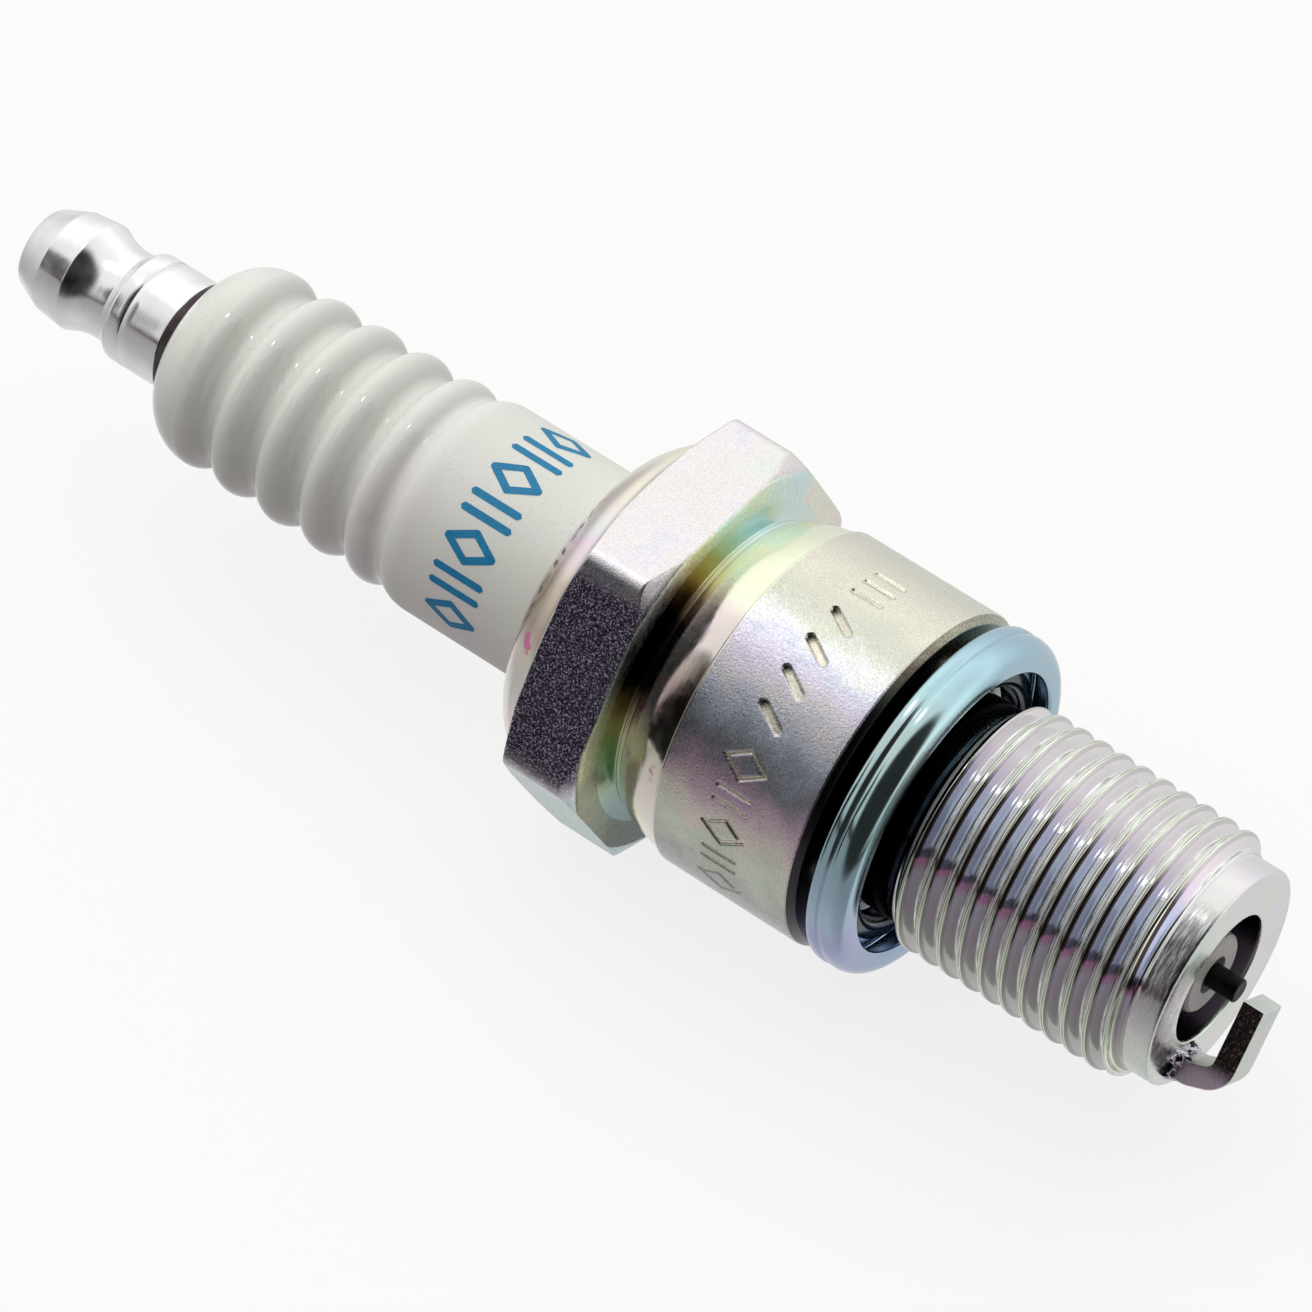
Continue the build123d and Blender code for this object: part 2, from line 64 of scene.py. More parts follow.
# ---- driving sizes ----------------------------------------------------------------------------
REACH = 19.0                                    # gasket seat to rim
THREAD_R, ROOT_R, PITCH = 6.96, 6.24, 1.25
CREST_X = 3.877                                 # a crest of the thread at angle 0
NECK_R, NECK_END, THREAD_END = 6.12, 3.3, 17.6
RIM_R, MOUTH_R = 6.1, 3.6
BARREL_R, BARREL_BACK, BARREL_FRONT = 9.58, -8.5, -0.42
MARK_X, MARK_HALF, MARK_WALL = -4.5, 1.8, 0.07  # the stamped band on the barrel
MARKS_FROM, MARKS_TO = 58, 212                  # between these angles its points are closer
LIP_R, GROOVE_R, GROOVE_X = 8.36, 8.12, -11.9   # foot of the shoulder, and the groove behind it
HEX_FRONT, HEX_BACK, HEX_ACROSS = -12.3, -16.8, 20.8
HEX_CORNER, HEX_EDGE = 0.9, 0.09                # rounds of the six corners and of the end faces
HEX_SHARP_R = 12.01                             # where the corners would meet without their rounds
NUT_R, NUT_WAIST_R, NUT_BORE_R = 3.12, 2.6, 2.06
NUT_END, NUT_OPEN = -55.9, -46.0
STRAP_ANGLE, STRAP_FOOT = math.radians(237.5), 4.72
PRINT_R = 6.012                                 # the ink stands just proud of the glaze
PRINT_LOW, PRINT_HIGH, PRINT_WIDTH = -25.6, -22.85, 0.42

even = np.arange(256) * 2 * math.pi / 256       # the angles of a plain ring
WHITE = (1.0, 1.0, 1.0)


# ---- mesh helpers -----------------------------------------------------------------------------
def smooth_min(a, b, k):
    """The smaller of two heights, blended over about k."""
    h = np.clip(0.5 + 0.5 * (b - a) / k, 0, 1)
    return b * (1 - h) + a * h - k * h * (1 - h)


def step(low, high, x):
    """0 below low and 1 above high, smooth between."""
    t = np.clip((x - low) / (high - low), 0, 1)
    return t * t * (3 - 2 * t)


def rounded(corners, steps=5):
    """A polyline whose corners (x, r, fillet) are rounded."""
    points = []
    for i, (x, r, fillet) in enumerate(corners):
        here = np.array([x, r], float)
        if fillet == 0 or i in (0, len(corners) - 1):
            points.append(here)
            continue
        back = np.array(corners[i - 1][:2], float) - here
        on = np.array(corners[i + 1][:2], float) - here
        fillet = min(fillet, np.linalg.norm(back) * 0.49, np.linalg.norm(on) * 0.49)
        a = here + back / np.linalg.norm(back) * fillet
        b = here + on / np.linalg.norm(on) * fillet
        for t in np.linspace(0, 1, steps):
            points.append((1 - t) ** 2 * a + 2 * t * (1 - t) * here + t * t * b)
    return np.array(points)


def ellipse(centre, half, start, end, steps):
    """Points of an elliptic arc in the (x, r) plane, angles in degrees from +X towards +r."""
    a = np.radians(np.linspace(start, end, steps))
    return np.stack([centre[0] + half[0] * np.cos(a), centre[1] + half[1] * np.sin(a)], 1)


def densify(points, longest):
    """More points on the long straight runs of a profile."""
    out = [points[0]]
    for a, b in zip(points, points[1:]):
        n = max(1, int(np.ceil(np.linalg.norm(b - a) / longest)))
        out += [a + (b - a) * (k + 1) / n for k in range(n)]
    return np.array(out)


def ring_grid(xs, rs, angles):
    """Points (rows, angles, 3) in metres, from x and radius, each a column or a full grid."""
    shape = np.broadcast(xs, rs, angles[None, :]).shape
    grid = np.empty(shape + (3,))
    grid[..., 0] = xs
    grid[..., 1] = rs * np.cos(angles)
    grid[..., 2] = rs * np.sin(angles)
    return grid * MM


def lathe(line, angles):
    """A profile of (x, r) points turned about the plug's axis."""
    return ring_grid(line[:, :1], line[:, 1:], angles)


def add_object(name, data):
    thing = bpy.data.objects.new(name, data)
    scene.collection.objects.link(thing)
    return thing


def build(name, grids, materials):
    """One smooth mesh from closed rings: grids is a list of (points, material index)."""
    verts, faces, slots, base = [], [], [], 0
    for points, slot in grids:
        rows, cols = points.shape[:2]
        verts.append(points.reshape(-1, 3))
        i = np.arange(rows - 1)[:, None] * cols
        j = np.arange(cols)[None, :]
        k = (j + 1) % cols
        quads = np.stack([i + j, i + cols + j, i + cols + k, i + k], -1).reshape(-1, 4) + base
        faces.append(quads)
        slots.append(np.full(len(quads), slot))
        base += rows * cols
    verts, faces, slots = np.concatenate(verts), np.concatenate(faces), np.concatenate(slots)
    mesh = bpy.data.meshes.new(name)
    mesh.vertices.add(len(verts))
    mesh.vertices.foreach_set("co", verts.ravel())
    mesh.loops.add(faces.size)
    mesh.loops.foreach_set("vertex_index", faces.ravel())
    mesh.polygons.add(len(faces))
    mesh.polygons.foreach_set("loop_start", np.arange(len(faces)) * 4)
    mesh.polygons.foreach_set("material_index", slots)
    mesh.polygons.foreach_set("use_smooth", np.ones(len(faces), bool))
    mesh.update(calc_edges=True)
    mesh.validate()
    for material in materials:
        mesh.materials.append(material)
    return add_object(name, mesh)


# ---- node helpers -----------------------------------------------------------------------------
class Nodes:
    """A node tree with a few short ways to wire it."""

    def __init__(self, tree):
        self.tree = tree

    def node(self, kind, **settings):
        n = self.tree.nodes.new(kind)
        for key, value in settings.items():
            setattr(n, key, value)
        return n

    def put(self, value, socket):
        """Links a socket, or sets a number, a vector or an opaque colour."""
        if hasattr(value, "links"):
            self.tree.links.new(value, socket)
        elif socket.type == "RGBA":
            socket.default_value = (*value, 1)
        else:
            socket.default_value = value

    def math(self, op, a, b=0.0):
        n = self.node("ShaderNodeMath", operation=op)
        self.put(a, n.inputs[0])
        self.put(b, n.inputs[1])
        return n.outputs[0]

    def dot(self, vector, way):
        n = self.node("ShaderNodeVectorMath", operation="DOT_PRODUCT")
        self.put(vector, n.inputs[0])
        self.put(way, n.inputs[1])
        return n.outputs["Value"]

    def ramp(self, fac, stops):
        """A colour ramp through stops of (position, colour or grey)."""
        n = self.node("ShaderNodeValToRGB")
        while len(n.color_ramp.elements) < len(stops):
            n.color_ramp.elements.new(0.5)
        for element, (at, colour) in zip(n.color_ramp.elements, stops):
            element.position = at
            element.color = (*colour, 1) if isinstance(colour, tuple) else (colour,) * 3 + (1,)
        self.put(fac, n.inputs["Fac"])
        return n.outputs["Color"]

    def mix(self, fac, a, b, blend="MIX"):
        n = self.node("ShaderNodeMix", data_type="RGBA", blend_type=blend)
        self.put(fac, n.inputs[0])
        self.put(a, n.inputs[6])
        self.put(b, n.inputs[7])
        return n.outputs[2]

    def times(self, a, b):
        return self.mix(1.0, a, b, "MULTIPLY")

    def span(self, value, low, high, to_low=0.0, to_high=1.0):
        """Maps low..high to to_low..to_high, smoothly."""
        n = self.node("ShaderNodeMapRange", interpolation_type="SMOOTHSTEP")
        self.put(value, n.inputs["Value"])
        for key, v in zip(("From Min", "From Max", "To Min", "To Max"), (low, high, to_low, to_high)):
            n.inputs[key].default_value = v
        return n.outputs["Result"]


class Look(Nodes):
    """A principled material. Its noises and masks are placed on the piece itself."""

    def __init__(self, name, **sockets):
        self.mat = bpy.data.materials.new(name)
        self.mat.use_nodes = True
        super().__init__(self.mat.node_tree)
        self.shader = self.tree.nodes["Principled BSDF"]
        self.place = self.node("ShaderNodeTexCoord").outputs["Object"]
        self.normal = None
        for key, value in sockets.items():
            self.shader.inputs[key.replace("_", " ")].default_value = value

    def noise(self, size, detail=3, rough=0.5, stretch=None, seed=0.0, place=None):
        """Noise whose blobs are about that size across."""
        place = place or self.place
        if stretch or seed:
            move = self.node("ShaderNodeMapping")
            move.inputs["Scale"].default_value = stretch or (1, 1, 1)
            move.inputs["Location"].default_value = (seed, seed * 0.7, -seed)
            self.put(place, move.inputs["Vector"])
            place = move.outputs["Vector"]
        n = self.node("ShaderNodeTexNoise")
        self.put(place, n.inputs["Vector"])
        n.inputs["Scale"].default_value = 1 / (size * MM)
        n.inputs["Detail"].default_value = detail
        n.inputs["Roughness"].default_value = rough
        return n.outputs["Fac"]

    def axes(self):
        """X, Y and Z on the piece, in metres."""
        n = self.node("ShaderNodeSeparateXYZ")
        self.put(self.place, n.inputs[0])
        return n.outputs

    def radius(self):
        """Distance from the plug's axis, in metres."""
        _, y, z = self.axes()
        return self.math("SQRT", self.math("ADD", self.math("MULTIPLY", y, y), self.math("MULTIPLY", z, z)))

    def turn(self):
        """The angle round the plug, as a share of a turn."""
        _, y, z = self.axes()
        share = self.math("DIVIDE", self.math("ARCTAN2", z, y), 2 * math.pi)
        return self.math("FRACT", self.math("ADD", share, 1.0))

    def angular(self, stops, size=2.2, drift=5.0):
        """Tints at angles round the plug, with edges that wander by up to drift degrees."""
        wander = self.span(self.noise(size, 3), 0.2, 0.8, -drift / 360, drift / 360)
        return self.ramp(self.math("ADD", self.turn(), wander), [(at / 360, tint) for at, tint in stops])

    def film(self, size, tints, seed):
        """Thin passivated plating: pale tints that drift into each other."""
        return self.ramp(self.span(self.noise(size, 2, 0.45, seed=seed), 0.25, 0.75), tints)

    def patchy(self, size, low, high, seed=0.0):
        """A roughness that drifts between two values."""
        return self.span(self.noise(size, 3, seed=seed), 0.3, 0.7, low, high)

    def bump(self, height, depth, strength=1.0):
        n = self.node("ShaderNodeBump")
        n.inputs["Strength"].default_value = strength
        n.inputs["Distance"].default_value = depth * MM
        self.put(height, n.inputs["Height"])
        if self.normal:
            self.put(self.normal, n.inputs["Normal"])
        self.normal = n.outputs["Normal"]
        self.put(self.normal, self.shader.inputs["Normal"])

    def done(self, colour, roughness=None):
        self.put(colour, self.shader.inputs["Base Color"])
        if roughness is not None:
            self.put(roughness, self.shader.inputs["Roughness"])
        return self.mat

    def satin(self, colour, grain=0.11):
        """Finishes with the fine sparkling grain of zinc over a pressed surface."""
        self.bump(self.noise(grain, 2, 0.7), 0.032, 0.8)
        speck = self.noise(grain * 0.8, 1, 0.5, seed=0.03)
        colour = self.times(colour, self.mix(self.span(speck, 0.3, 0.7), (0.84, 0.83, 0.85), WHITE))
        return self.done(colour, self.span(self.noise(0.5, 2), 0.3, 0.7, 0.20, 0.29))


# ---- the shell's platings ---------------------------------------------------------------------
def satin_plate():
    """The seat barrel: its tints round it are painted reflections. Stamped strokes are yellower, and black
    where deepest as painted shade.
    """
    look = Look("plated_satin", Metallic=1.0)
    # painted reflections: tints round the barrel, with a dark band near 141 to 148 degrees and a pink one
    # near 155
    tint = look.angular([
        (0, (0.78, 0.80, 0.72)), (80, (0.84, 0.82, 0.68)), (98, (0.72, 0.74, 0.62)),
        (105, (0.80, 0.81, 0.79)), (111, (0.68, 0.70, 0.80)), (117, (0.80, 0.74, 0.88)),
        (125, (0.80, 0.77, 0.78)), (134, (0.64, 0.68, 0.78)), (141, (0.46, 0.49, 0.56)),
        (148, (0.36, 0.38, 0.42)), (155, (0.72, 0.52, 0.66)), (168, (0.84, 0.74, 0.68)),
        (178, (0.68, 0.74, 0.60)), (196, (0.50, 0.48, 0.47)), (235, (0.66, 0.70, 0.66)),
        (290, (0.82, 0.76, 0.80)), (330, (0.76, 0.78, 0.70)),
    ], 2.2, 6.5)
    sunk = look.math("SUBTRACT", BARREL_R * MM, look.radius())
    tint = look.mix(look.span(sunk, 0.05 * MM, 0.09 * MM), tint, (0.78, 0.74, 0.60))
    # painted shade: black in the deepest part of the stamped strokes
    tint = look.mix(look.span(sunk, 0.20 * MM, 0.26 * MM), tint, (0.02, 0.02, 0.02))
    return look.satin(tint)


def bright_plate():
    """Smooth plating on the shoulder and the crimp, with painted reflections round it and a painted pink
    reflection.
    """
    look = Look("plated_bright", Metallic=1.0)
    tint = look.film(6.5, [
        (0.0, (0.88, 0.93, 0.78)), (0.35, (0.95, 0.93, 0.79)), (0.6, (0.94, 0.89, 0.84)),
        (0.85, (0.93, 0.84, 0.86)), (1.0, (0.80, 0.89, 0.85)),
    ], 0.05)
    # painted reflections round the shoulder and the crimp: lilac, then dark brown near 131 to 147 degrees
    tint = look.times(tint, look.angular([
        (0, WHITE), (60, (0.97, 1.0, 0.90)), (98, (1.0, 1.0, 0.88)), (106, (1.0, 1.0, 0.96)),
        (113, (0.96, 0.87, 0.97)), (124, (0.88, 0.80, 0.88)), (131, (0.70, 0.60, 0.58)),
        (147, (0.60, 0.50, 0.48)), (155, (1.0, 0.98, 0.92)), (350, WHITE),
    ], 2.0, 3.0))
    # painted pink reflection in patches, between about 140 and 166 degrees
    pink_reflection_angles = look.angular([(0, 0.0), (132, 0.0), (140, 1.0), (166, 1.0), (176, 0.0), (350, 0.0)])
    pink_reflection = look.math("MULTIPLY", look.span(look.noise(1.1, 2, seed=0.09), 0.60, 0.68), pink_reflection_angles)
    look.bump(look.noise(0.16, 3, stretch=(1, 0.05, 0.05)), 0.004, 0.5)
    look.bump(look.noise(0.6, 3), 0.006, 0.4)
    return look.done(look.mix(pink_reflection, tint, (0.80, 0.28, 0.48)), look.patchy(0.8, 0.10, 0.19))


def gold_plate():
    """The ridge and the turned groove beside the hex are yellower, with painted reflections round them."""
    look = Look("plated_gold", Metallic=1.0)
    # painted reflections: black between about 122 and 147 degrees, darker teal underneath
    tint = look.angular([
        (0, (0.70, 0.76, 0.62)), (70, (0.62, 0.78, 0.76)), (88, (0.66, 0.76, 0.60)),
        (98, (0.66, 0.64, 0.36)), (107, (0.58, 0.50, 0.28)), (116, (0.26, 0.18, 0.12)),
        (122, (0.04, 0.03, 0.03)), (147, (0.04, 0.03, 0.03)), (153, (0.62, 0.54, 0.34)),
        (166, (0.62, 0.62, 0.40)), (180, (0.44, 0.56, 0.36)), (195, (0.34, 0.46, 0.34)),
        (212, (0.20, 0.30, 0.30)), (235, (0.12, 0.18, 0.18)), (290, (0.50, 0.58, 0.52)),
        (330, (0.66, 0.72, 0.58)),
    ], 1.5, 2.5)
    look.bump(look.noise(0.12, 2, stretch=(1, 0.04, 0.04)), 0.005, 0.6)
    return look.done(tint, look.patchy(0.8, 0.14, 0.24))


def thread_plate():
    """The rolled thread: its colours and its fine lines follow the helix, with painted reflections,
    highlights and shadow.
    """
    look = Look("plated_thread", Metallic=1.0)
    along = look.math("DIVIDE", look.math("SUBTRACT", look.axes()[0], CREST_X * MM), PITCH * MM)
    wound = look.math("SUBTRACT", along, look.turn())

    def band(centre):
        """1 at that share of the pitch past the crest, falling to -1 half a pitch away."""
        away = look.math("SUBTRACT", wound, centre)
        return look.math("COSINE", look.math("MULTIPLY", away, 2 * math.pi))

    unwound = look.node("ShaderNodeCombineXYZ")
    look.put(look.math("MULTIPLY", wound, PITCH * MM), unwound.inputs[0])
    look.put(look.math("MULTIPLY", look.turn(), 1.5 * MM), unwound.inputs[1])
    lines = look.noise(0.06, 2, 0.6, place=unwound.outputs[0])

    # painted reflections on the crest and the front flank: dark between about 102 and 147 degrees, then a
    # black band and a pink one near 147 to 153
    crest = look.times(look.mix(look.span(lines, 0.35, 0.65), (0.46, 0.48, 0.40), WHITE), look.angular([
        (0, (0.84, 0.90, 0.82)), (92, (0.86, 0.93, 0.84)), (102, (0.60, 0.62, 0.55)),
        (112, (0.46, 0.45, 0.41)), (147, (0.42, 0.40, 0.37)), (151, (0.70, 0.75, 0.62)),
        (230, (0.70, 0.76, 0.64)),
    ], 1.5, 2.0))
    front_flank = look.angular([
        (0, (0.78, 0.78, 0.80)), (60, (0.84, 0.80, 0.80)), (88, (0.84, 0.76, 0.80)),
        (102, (0.74, 0.64, 0.76)), (110, (0.54, 0.55, 0.72)), (118, (0.50, 0.55, 0.72)),
        (145, (0.50, 0.55, 0.74)), (146.5, (0.12, 0.12, 0.17)), (149, (0.14, 0.14, 0.20)),
        (150, (0.56, 0.24, 0.42)), (153, (0.52, 0.28, 0.44)), (156, (0.54, 0.48, 0.58)),
        (176, (0.48, 0.42, 0.46)), (192, (0.44, 0.44, 0.40)), (230, (0.52, 0.47, 0.52)),
        (330, (0.70, 0.70, 0.72)),
    ], 0.5, 1.2)
    root = look.mix(look.span(lines, 0.4, 0.6), (0.50, 0.50, 0.44), (0.94, 0.96, 0.92))
    back_flank = (0.86, 0.88, 0.90)

    tint = look.mix(look.span(band(0.5), 0.90, 0.97), back_flank, root)
    tint = look.mix(look.span(band(0.0), 0.70, 0.86), tint, crest)
    tint = look.mix(look.span(band(0.275), 0.42, 0.56), tint, front_flank)
    # painted highlights along both edges of the crest
    crest_edge_highlights = [look.span(band(side), 0.988, 0.996) for side in (0.065, -0.065)]
    tint = look.mix(look.math("MAXIMUM", *crest_edge_highlights), tint, (0.90, 0.93, 0.80))
    shaded = look.angular([
        (0, 0.25), (98, 0.25), (110, 0.95), (150, 0.95), (152, 0.3), (350, 0.25),
    ], 0.5, 1.2)
    shadow_line = look.math("MULTIPLY", look.span(band(0.134), 0.90, 0.965), shaded)
    tint = look.mix(shadow_line, tint, (0.04, 0.02, 0.015))

    # the back flank is less metallic, and the fine lines are rolled into the crest and the root only
    look.put(look.span(band(0.735), 0.6, 0.8, 1.0, 0.3), look.shader.inputs["Metallic"])
    crest_and_root = look.span(look.math("ABSOLUTE", band(0.0)), 0.55, 0.9)
    look.bump(look.math("MULTIPLY", lines, crest_and_root), 0.006, 0.7)
    return look.done(tint, look.patchy(0.7, 0.10, 0.15))


def rim_plate():
    """The rim is turned last: tool marks round it, and a painted dark streaky reflection on its side."""
    look = Look("plated_rim", Metallic=1.0)
    tint = look.film(5.0, [
        (0.0, (0.70, 0.78, 0.72)), (0.4, (0.80, 0.80, 0.76)), (0.7, (0.80, 0.76, 0.80)),
        (1.0, (0.72, 0.78, 0.78)),
    ], 0.03)
    tool_marks = look.noise(0.07, 3, 0.6, stretch=(1, 0.12, 0.12))
    look.bump(tool_marks, 0.012, 0.8)
    look.bump(look.noise(0.2, 2), 0.01, 0.5)
    on_side = look.span(look.radius(), 5.9 * MM, 6.15 * MM)
    # painted dark reflection, streaky, on the side of the rim between about 110 and 147 degrees
    ink_wear_and_rim_reflection = look.math("MULTIPLY", on_side, look.angular([
        (0, 0.0), (98, 0.0), (110, 0.7), (124, 1.0), (147, 1.0), (149, 0.25), (165, 0.1), (350, 0.0),
    ], 1.5, 4.0))
    streaks = look.ramp(look.noise(0.10, 3, 0.65, stretch=(1, 0.10, 0.10), seed=0.03), [
        (0.42, (0.05, 0.04, 0.05)), (0.55, (0.34, 0.31, 0.34)), (0.68, (0.86, 0.82, 0.86)),
    ])
    return look.done(look.mix(ink_wear_and_rim_reflection, tint, streaks), look.span(tool_marks, 0.3, 0.7, 0.18, 0.34))


def flats_plate():
    """The hex's flats: pinkish cream touched with green, a painted dark reflection with painted glints on
    one, and a painted teal reflection underneath.
    """
    look = Look("plated_flats", Metallic=1.0)
    tint = look.film(3.6, [
        (0.0, (0.80, 0.90, 0.84)), (0.3, (0.90, 0.90, 0.84)), (0.55, (0.92, 0.87, 0.85)),
        (0.8, (0.92, 0.88, 0.88)), (1.0, (0.84, 0.84, 0.92)),
    ], 0.02)
    # the flat between about 126 and 176 degrees: a painted dark reflection with painted bright glints, and
    # less metallic
    dark_reflection_flat = look.angular([
        (0, 0.0), (120, 0.0), (126, 1.0), (176, 1.0), (184, 0.0), (350, 0.0),
    ], 3.0, 1.0)
    dark_reflection_glints = look.ramp(look.noise(0.10, 2, 0.7, seed=0.07), [
        (0.40, (0.03, 0.025, 0.04)), (0.50, (0.10, 0.08, 0.13)), (0.56, (0.18, 0.20, 0.32)),
        (0.63, (0.95, 0.74, 0.92)),
    ])
    # painted reflection underneath: teal and darker
    tint = look.times(look.mix(dark_reflection_flat, tint, dark_reflection_glints), look.angular([
        (0, WHITE), (181, WHITE), (187, (0.66, 0.84, 0.84)), (236, (0.56, 0.74, 0.76)),
        (300, (0.86, 0.94, 0.92)), (350, WHITE),
    ], 2.0, 2.0))
    look.put(look.span(dark_reflection_flat, 0.0, 1.0, 1.0, 0.6), look.shader.inputs["Metallic"])
    return look.satin(tint, 0.09)


def face_plate():
    """The end faces of the hex: pale green to teal, with painted shade darker underneath."""
    look = Look("plated_face", Metallic=1.0)
    tint = look.film(3.0, [
        (0.0, (0.70, 0.88, 0.86)), (0.4, (0.78, 0.90, 0.80)), (0.7, (0.86, 0.88, 0.74)),
        (1.0, (0.88, 0.82, 0.70)),
    ], 0.11)
    # painted shade: darker underneath
    tint = look.times(tint, look.angular([
        (0, WHITE), (150, WHITE), (172, (0.92, 0.86, 0.62)), (184, (0.46, 0.40, 0.28)),
        (205, (0.30, 0.28, 0.22)), (225, (0.12, 0.13, 0.11)), (250, (0.10, 0.12, 0.11)),
        (290, (0.45, 0.52, 0.50)), (330, WHITE),
    ], 2.0, 4.0))
    return look.satin(tint, 0.12)


def shade_plate():
    """The bore and the neck are painted dark as shade, lighter lilac at 290 to 340 degrees as a painted
    reflection. The seat face round them has painted light on top.
    """
    look = Look("plated_shade", Metallic=1.0)
    inside = look.angular([
        (0, (0.20, 0.18, 0.20)), (60, (0.10, 0.08, 0.07)), (92, (0.06, 0.05, 0.04)),
        (110, (0.03, 0.03, 0.03)), (165, (0.03, 0.03, 0.035)), (230, (0.12, 0.11, 0.13)),
        (290, (0.46, 0.40, 0.54)), (340, (0.40, 0.35, 0.46)),
    ])
    # painted light on the top of the seat face, painted shade below
    seat = look.angular([
        (0, (0.46, 0.50, 0.44)), (70, (0.46, 0.47, 0.36)), (84, (0.34, 0.31, 0.24)),
        (95, (0.17, 0.13, 0.11)), (106, (0.05, 0.06, 0.04)), (118, (0.03, 0.03, 0.03)),
        (230, (0.12, 0.11, 0.13)), (340, (0.44, 0.46, 0.44)),
    ], 1.0, 4.0)
    lines = look.noise(0.10, 2, 0.6, stretch=(0.04, 1, 1), seed=0.04)
    seat = look.mix(look.span(lines, 0.40, 0.60, 0.0, 0.5), seat, (0.05, 0.04, 0.04))
    look.bump(look.noise(0.12, 2, stretch=(1, 0.04, 0.04)), 0.006, 0.6)
    return look.done(look.mix(look.span(look.radius(), 7.2 * MM, 7.6 * MM), inside, seat), 0.22)


# ---- shell: neck, thread, rim and bore --------------------------------------------------------
def thread_radius(x, angle):
    """Rolled thread: a 60 degree V with rounded crest and root, wound right-handed."""
    crest_half, softness = 0.13, 0.042
    across_pitch = np.linspace(-PITCH / 2, PITCH / 2, 201)[:-1]
    sharp = THREAD_R - np.clip(np.abs(across_pitch) - crest_half, 0, None) * math.sqrt(3)
    sharp = np.maximum(sharp, ROOT_R)
    kernel = np.exp(-0.5 * (across_pitch / softness) ** 2)
    kernel = np.fft.ifftshift(kernel / kernel.sum())
    soft = np.real(np.fft.ifft(np.fft.fft(sharp) * np.fft.fft(kernel)))
    turns = (x - CREST_X) / PITCH - np.degrees(angle) / 360
    off = (turns - np.round(turns)) * PITCH
    return np.interp(off, across_pitch, soft)


neck = densify(rounded([(0.0, 7.2, 0), (0.0, NECK_R, 0.3), (1.4, NECK_R, 0), (NECK_END, NECK_R, 0)]), 0.5)

thread_x = np.arange(NECK_END, THREAD_END, PITCH / 24)[:, None]
lead_in, lead_out, blank_r = 3.6, 17.35, THREAD_R + 0.06
blank_x = [NECK_END, lead_in, lead_in + 0.75, lead_out - 0.6, lead_out, THREAD_END]
blank = np.interp(thread_x, blank_x, [NECK_R, NECK_R, blank_r, blank_r, RIM_R, RIM_R])
thread_r = smooth_min(thread_radius(thread_x, even[None, :]), blank, 0.1)

mouth_x = REACH - 0.2
rim = densify(rounded([
    (thread_x[-1, 0], RIM_R, 0), (REACH, RIM_R, 0.2), (REACH, MOUTH_R, 0.16), (mouth_x, MOUTH_R, 0),
]), 0.6)
bore = densify(np.array([(mouth_x, MOUTH_R), (12.0, MOUTH_R), (11.2, 4.6)]), 0.6)

# ---- shell: seat barrel with its stamped band -------------------------------------------------
marked = np.radians(np.concatenate([
    np.arange(MARKS_FROM, MARKS_TO, 0.36), np.arange(MARKS_TO, MARKS_FROM + 360, 2.0),
]))
marked_x = np.linspace(MARK_X - MARK_HALF, MARK_X + MARK_HALF, 62)
grid_x, grid_a = np.meshgrid(marked_x, np.degrees(marked) % 360, indexing="ij")


def bar(u, v, length, width):
    """A stamped stroke along u: 1 inside and 0 outside."""
    outside = np.hypot(np.clip(np.abs(u) - length / 2 + width / 2, 0, None), v) - width / 2
    return 1 - step(-MARK_WALL / 2, MARK_WALL / 2, outside)


def diamond(u, v, half_u, half_v, width):
    """The stamped outline of a diamond: 1 on the stroke and 0 off it."""
    off = (np.abs(u) / half_u + np.abs(v) / half_v - 1) * half_u * half_v / math.hypot(half_u, half_v)
    return 1 - step(width / 2 - MARK_WALL / 2, width / 2 + MARK_WALL / 2, np.abs(off))


def around(at):
    """Arc length on the barrel from an angle in degrees."""
    return (grid_a - at) * math.pi / 180 * BARREL_R


def stamping():
    """Depth of the band in tenths of a millimetre: dashes, diamonds and pairs of bars, three bars."""
    lengthways = grid_x - MARK_X
    slant = math.atan2(1.0, 1.68)
    strokes = [np.zeros_like(grid_x)]
    for at in (94.8, 107.0, 119.0, 131.3):
        u = lengthways * math.cos(slant) + around(at) * math.sin(slant)
        v = -lengthways * math.sin(slant) + around(at) * math.cos(slant)
        strokes.append(bar(u, v, 2.0, 0.46) * (1.7 - 0.9 * u))
    for k, at in enumerate((147.5, 159.5, 171.5, 183.5, 195.5)):
        if k % 2 == 0:
            strokes.append(diamond(lengthways, around(at), 1.15, 0.8, 0.24))
        else:
            strokes += [bar(lengthways, around(at) + side, 2.1, 0.24) for side in (-0.4, 0.4)]
    strokes += [bar(lengthways, around(at), 1.9, 0.3) * 1.3 for at in (70.0, 76.0, 82.5)]
    return np.max(strokes, axis=0)


marked_r = BARREL_R - 0.1 * stamping()
barrel_corner = (BARREL_FRONT * 0.85, BARREL_R - 0.06, 0)
seat_face = rounded([(0.0, 6.3, 0), (0.0, BARREL_R + BARREL_FRONT, 0.07), barrel_corner])
barrel_front = densify(rounded([
    barrel_corner, (BARREL_FRONT, BARREL_R, 0.06), (marked_x[-1], BARREL_R, 0),
]), 0.6)
barrel_back = densify(np.array([(marked_x[0], BARREL_R), (BARREL_BACK, BARREL_R)]), 0.6)

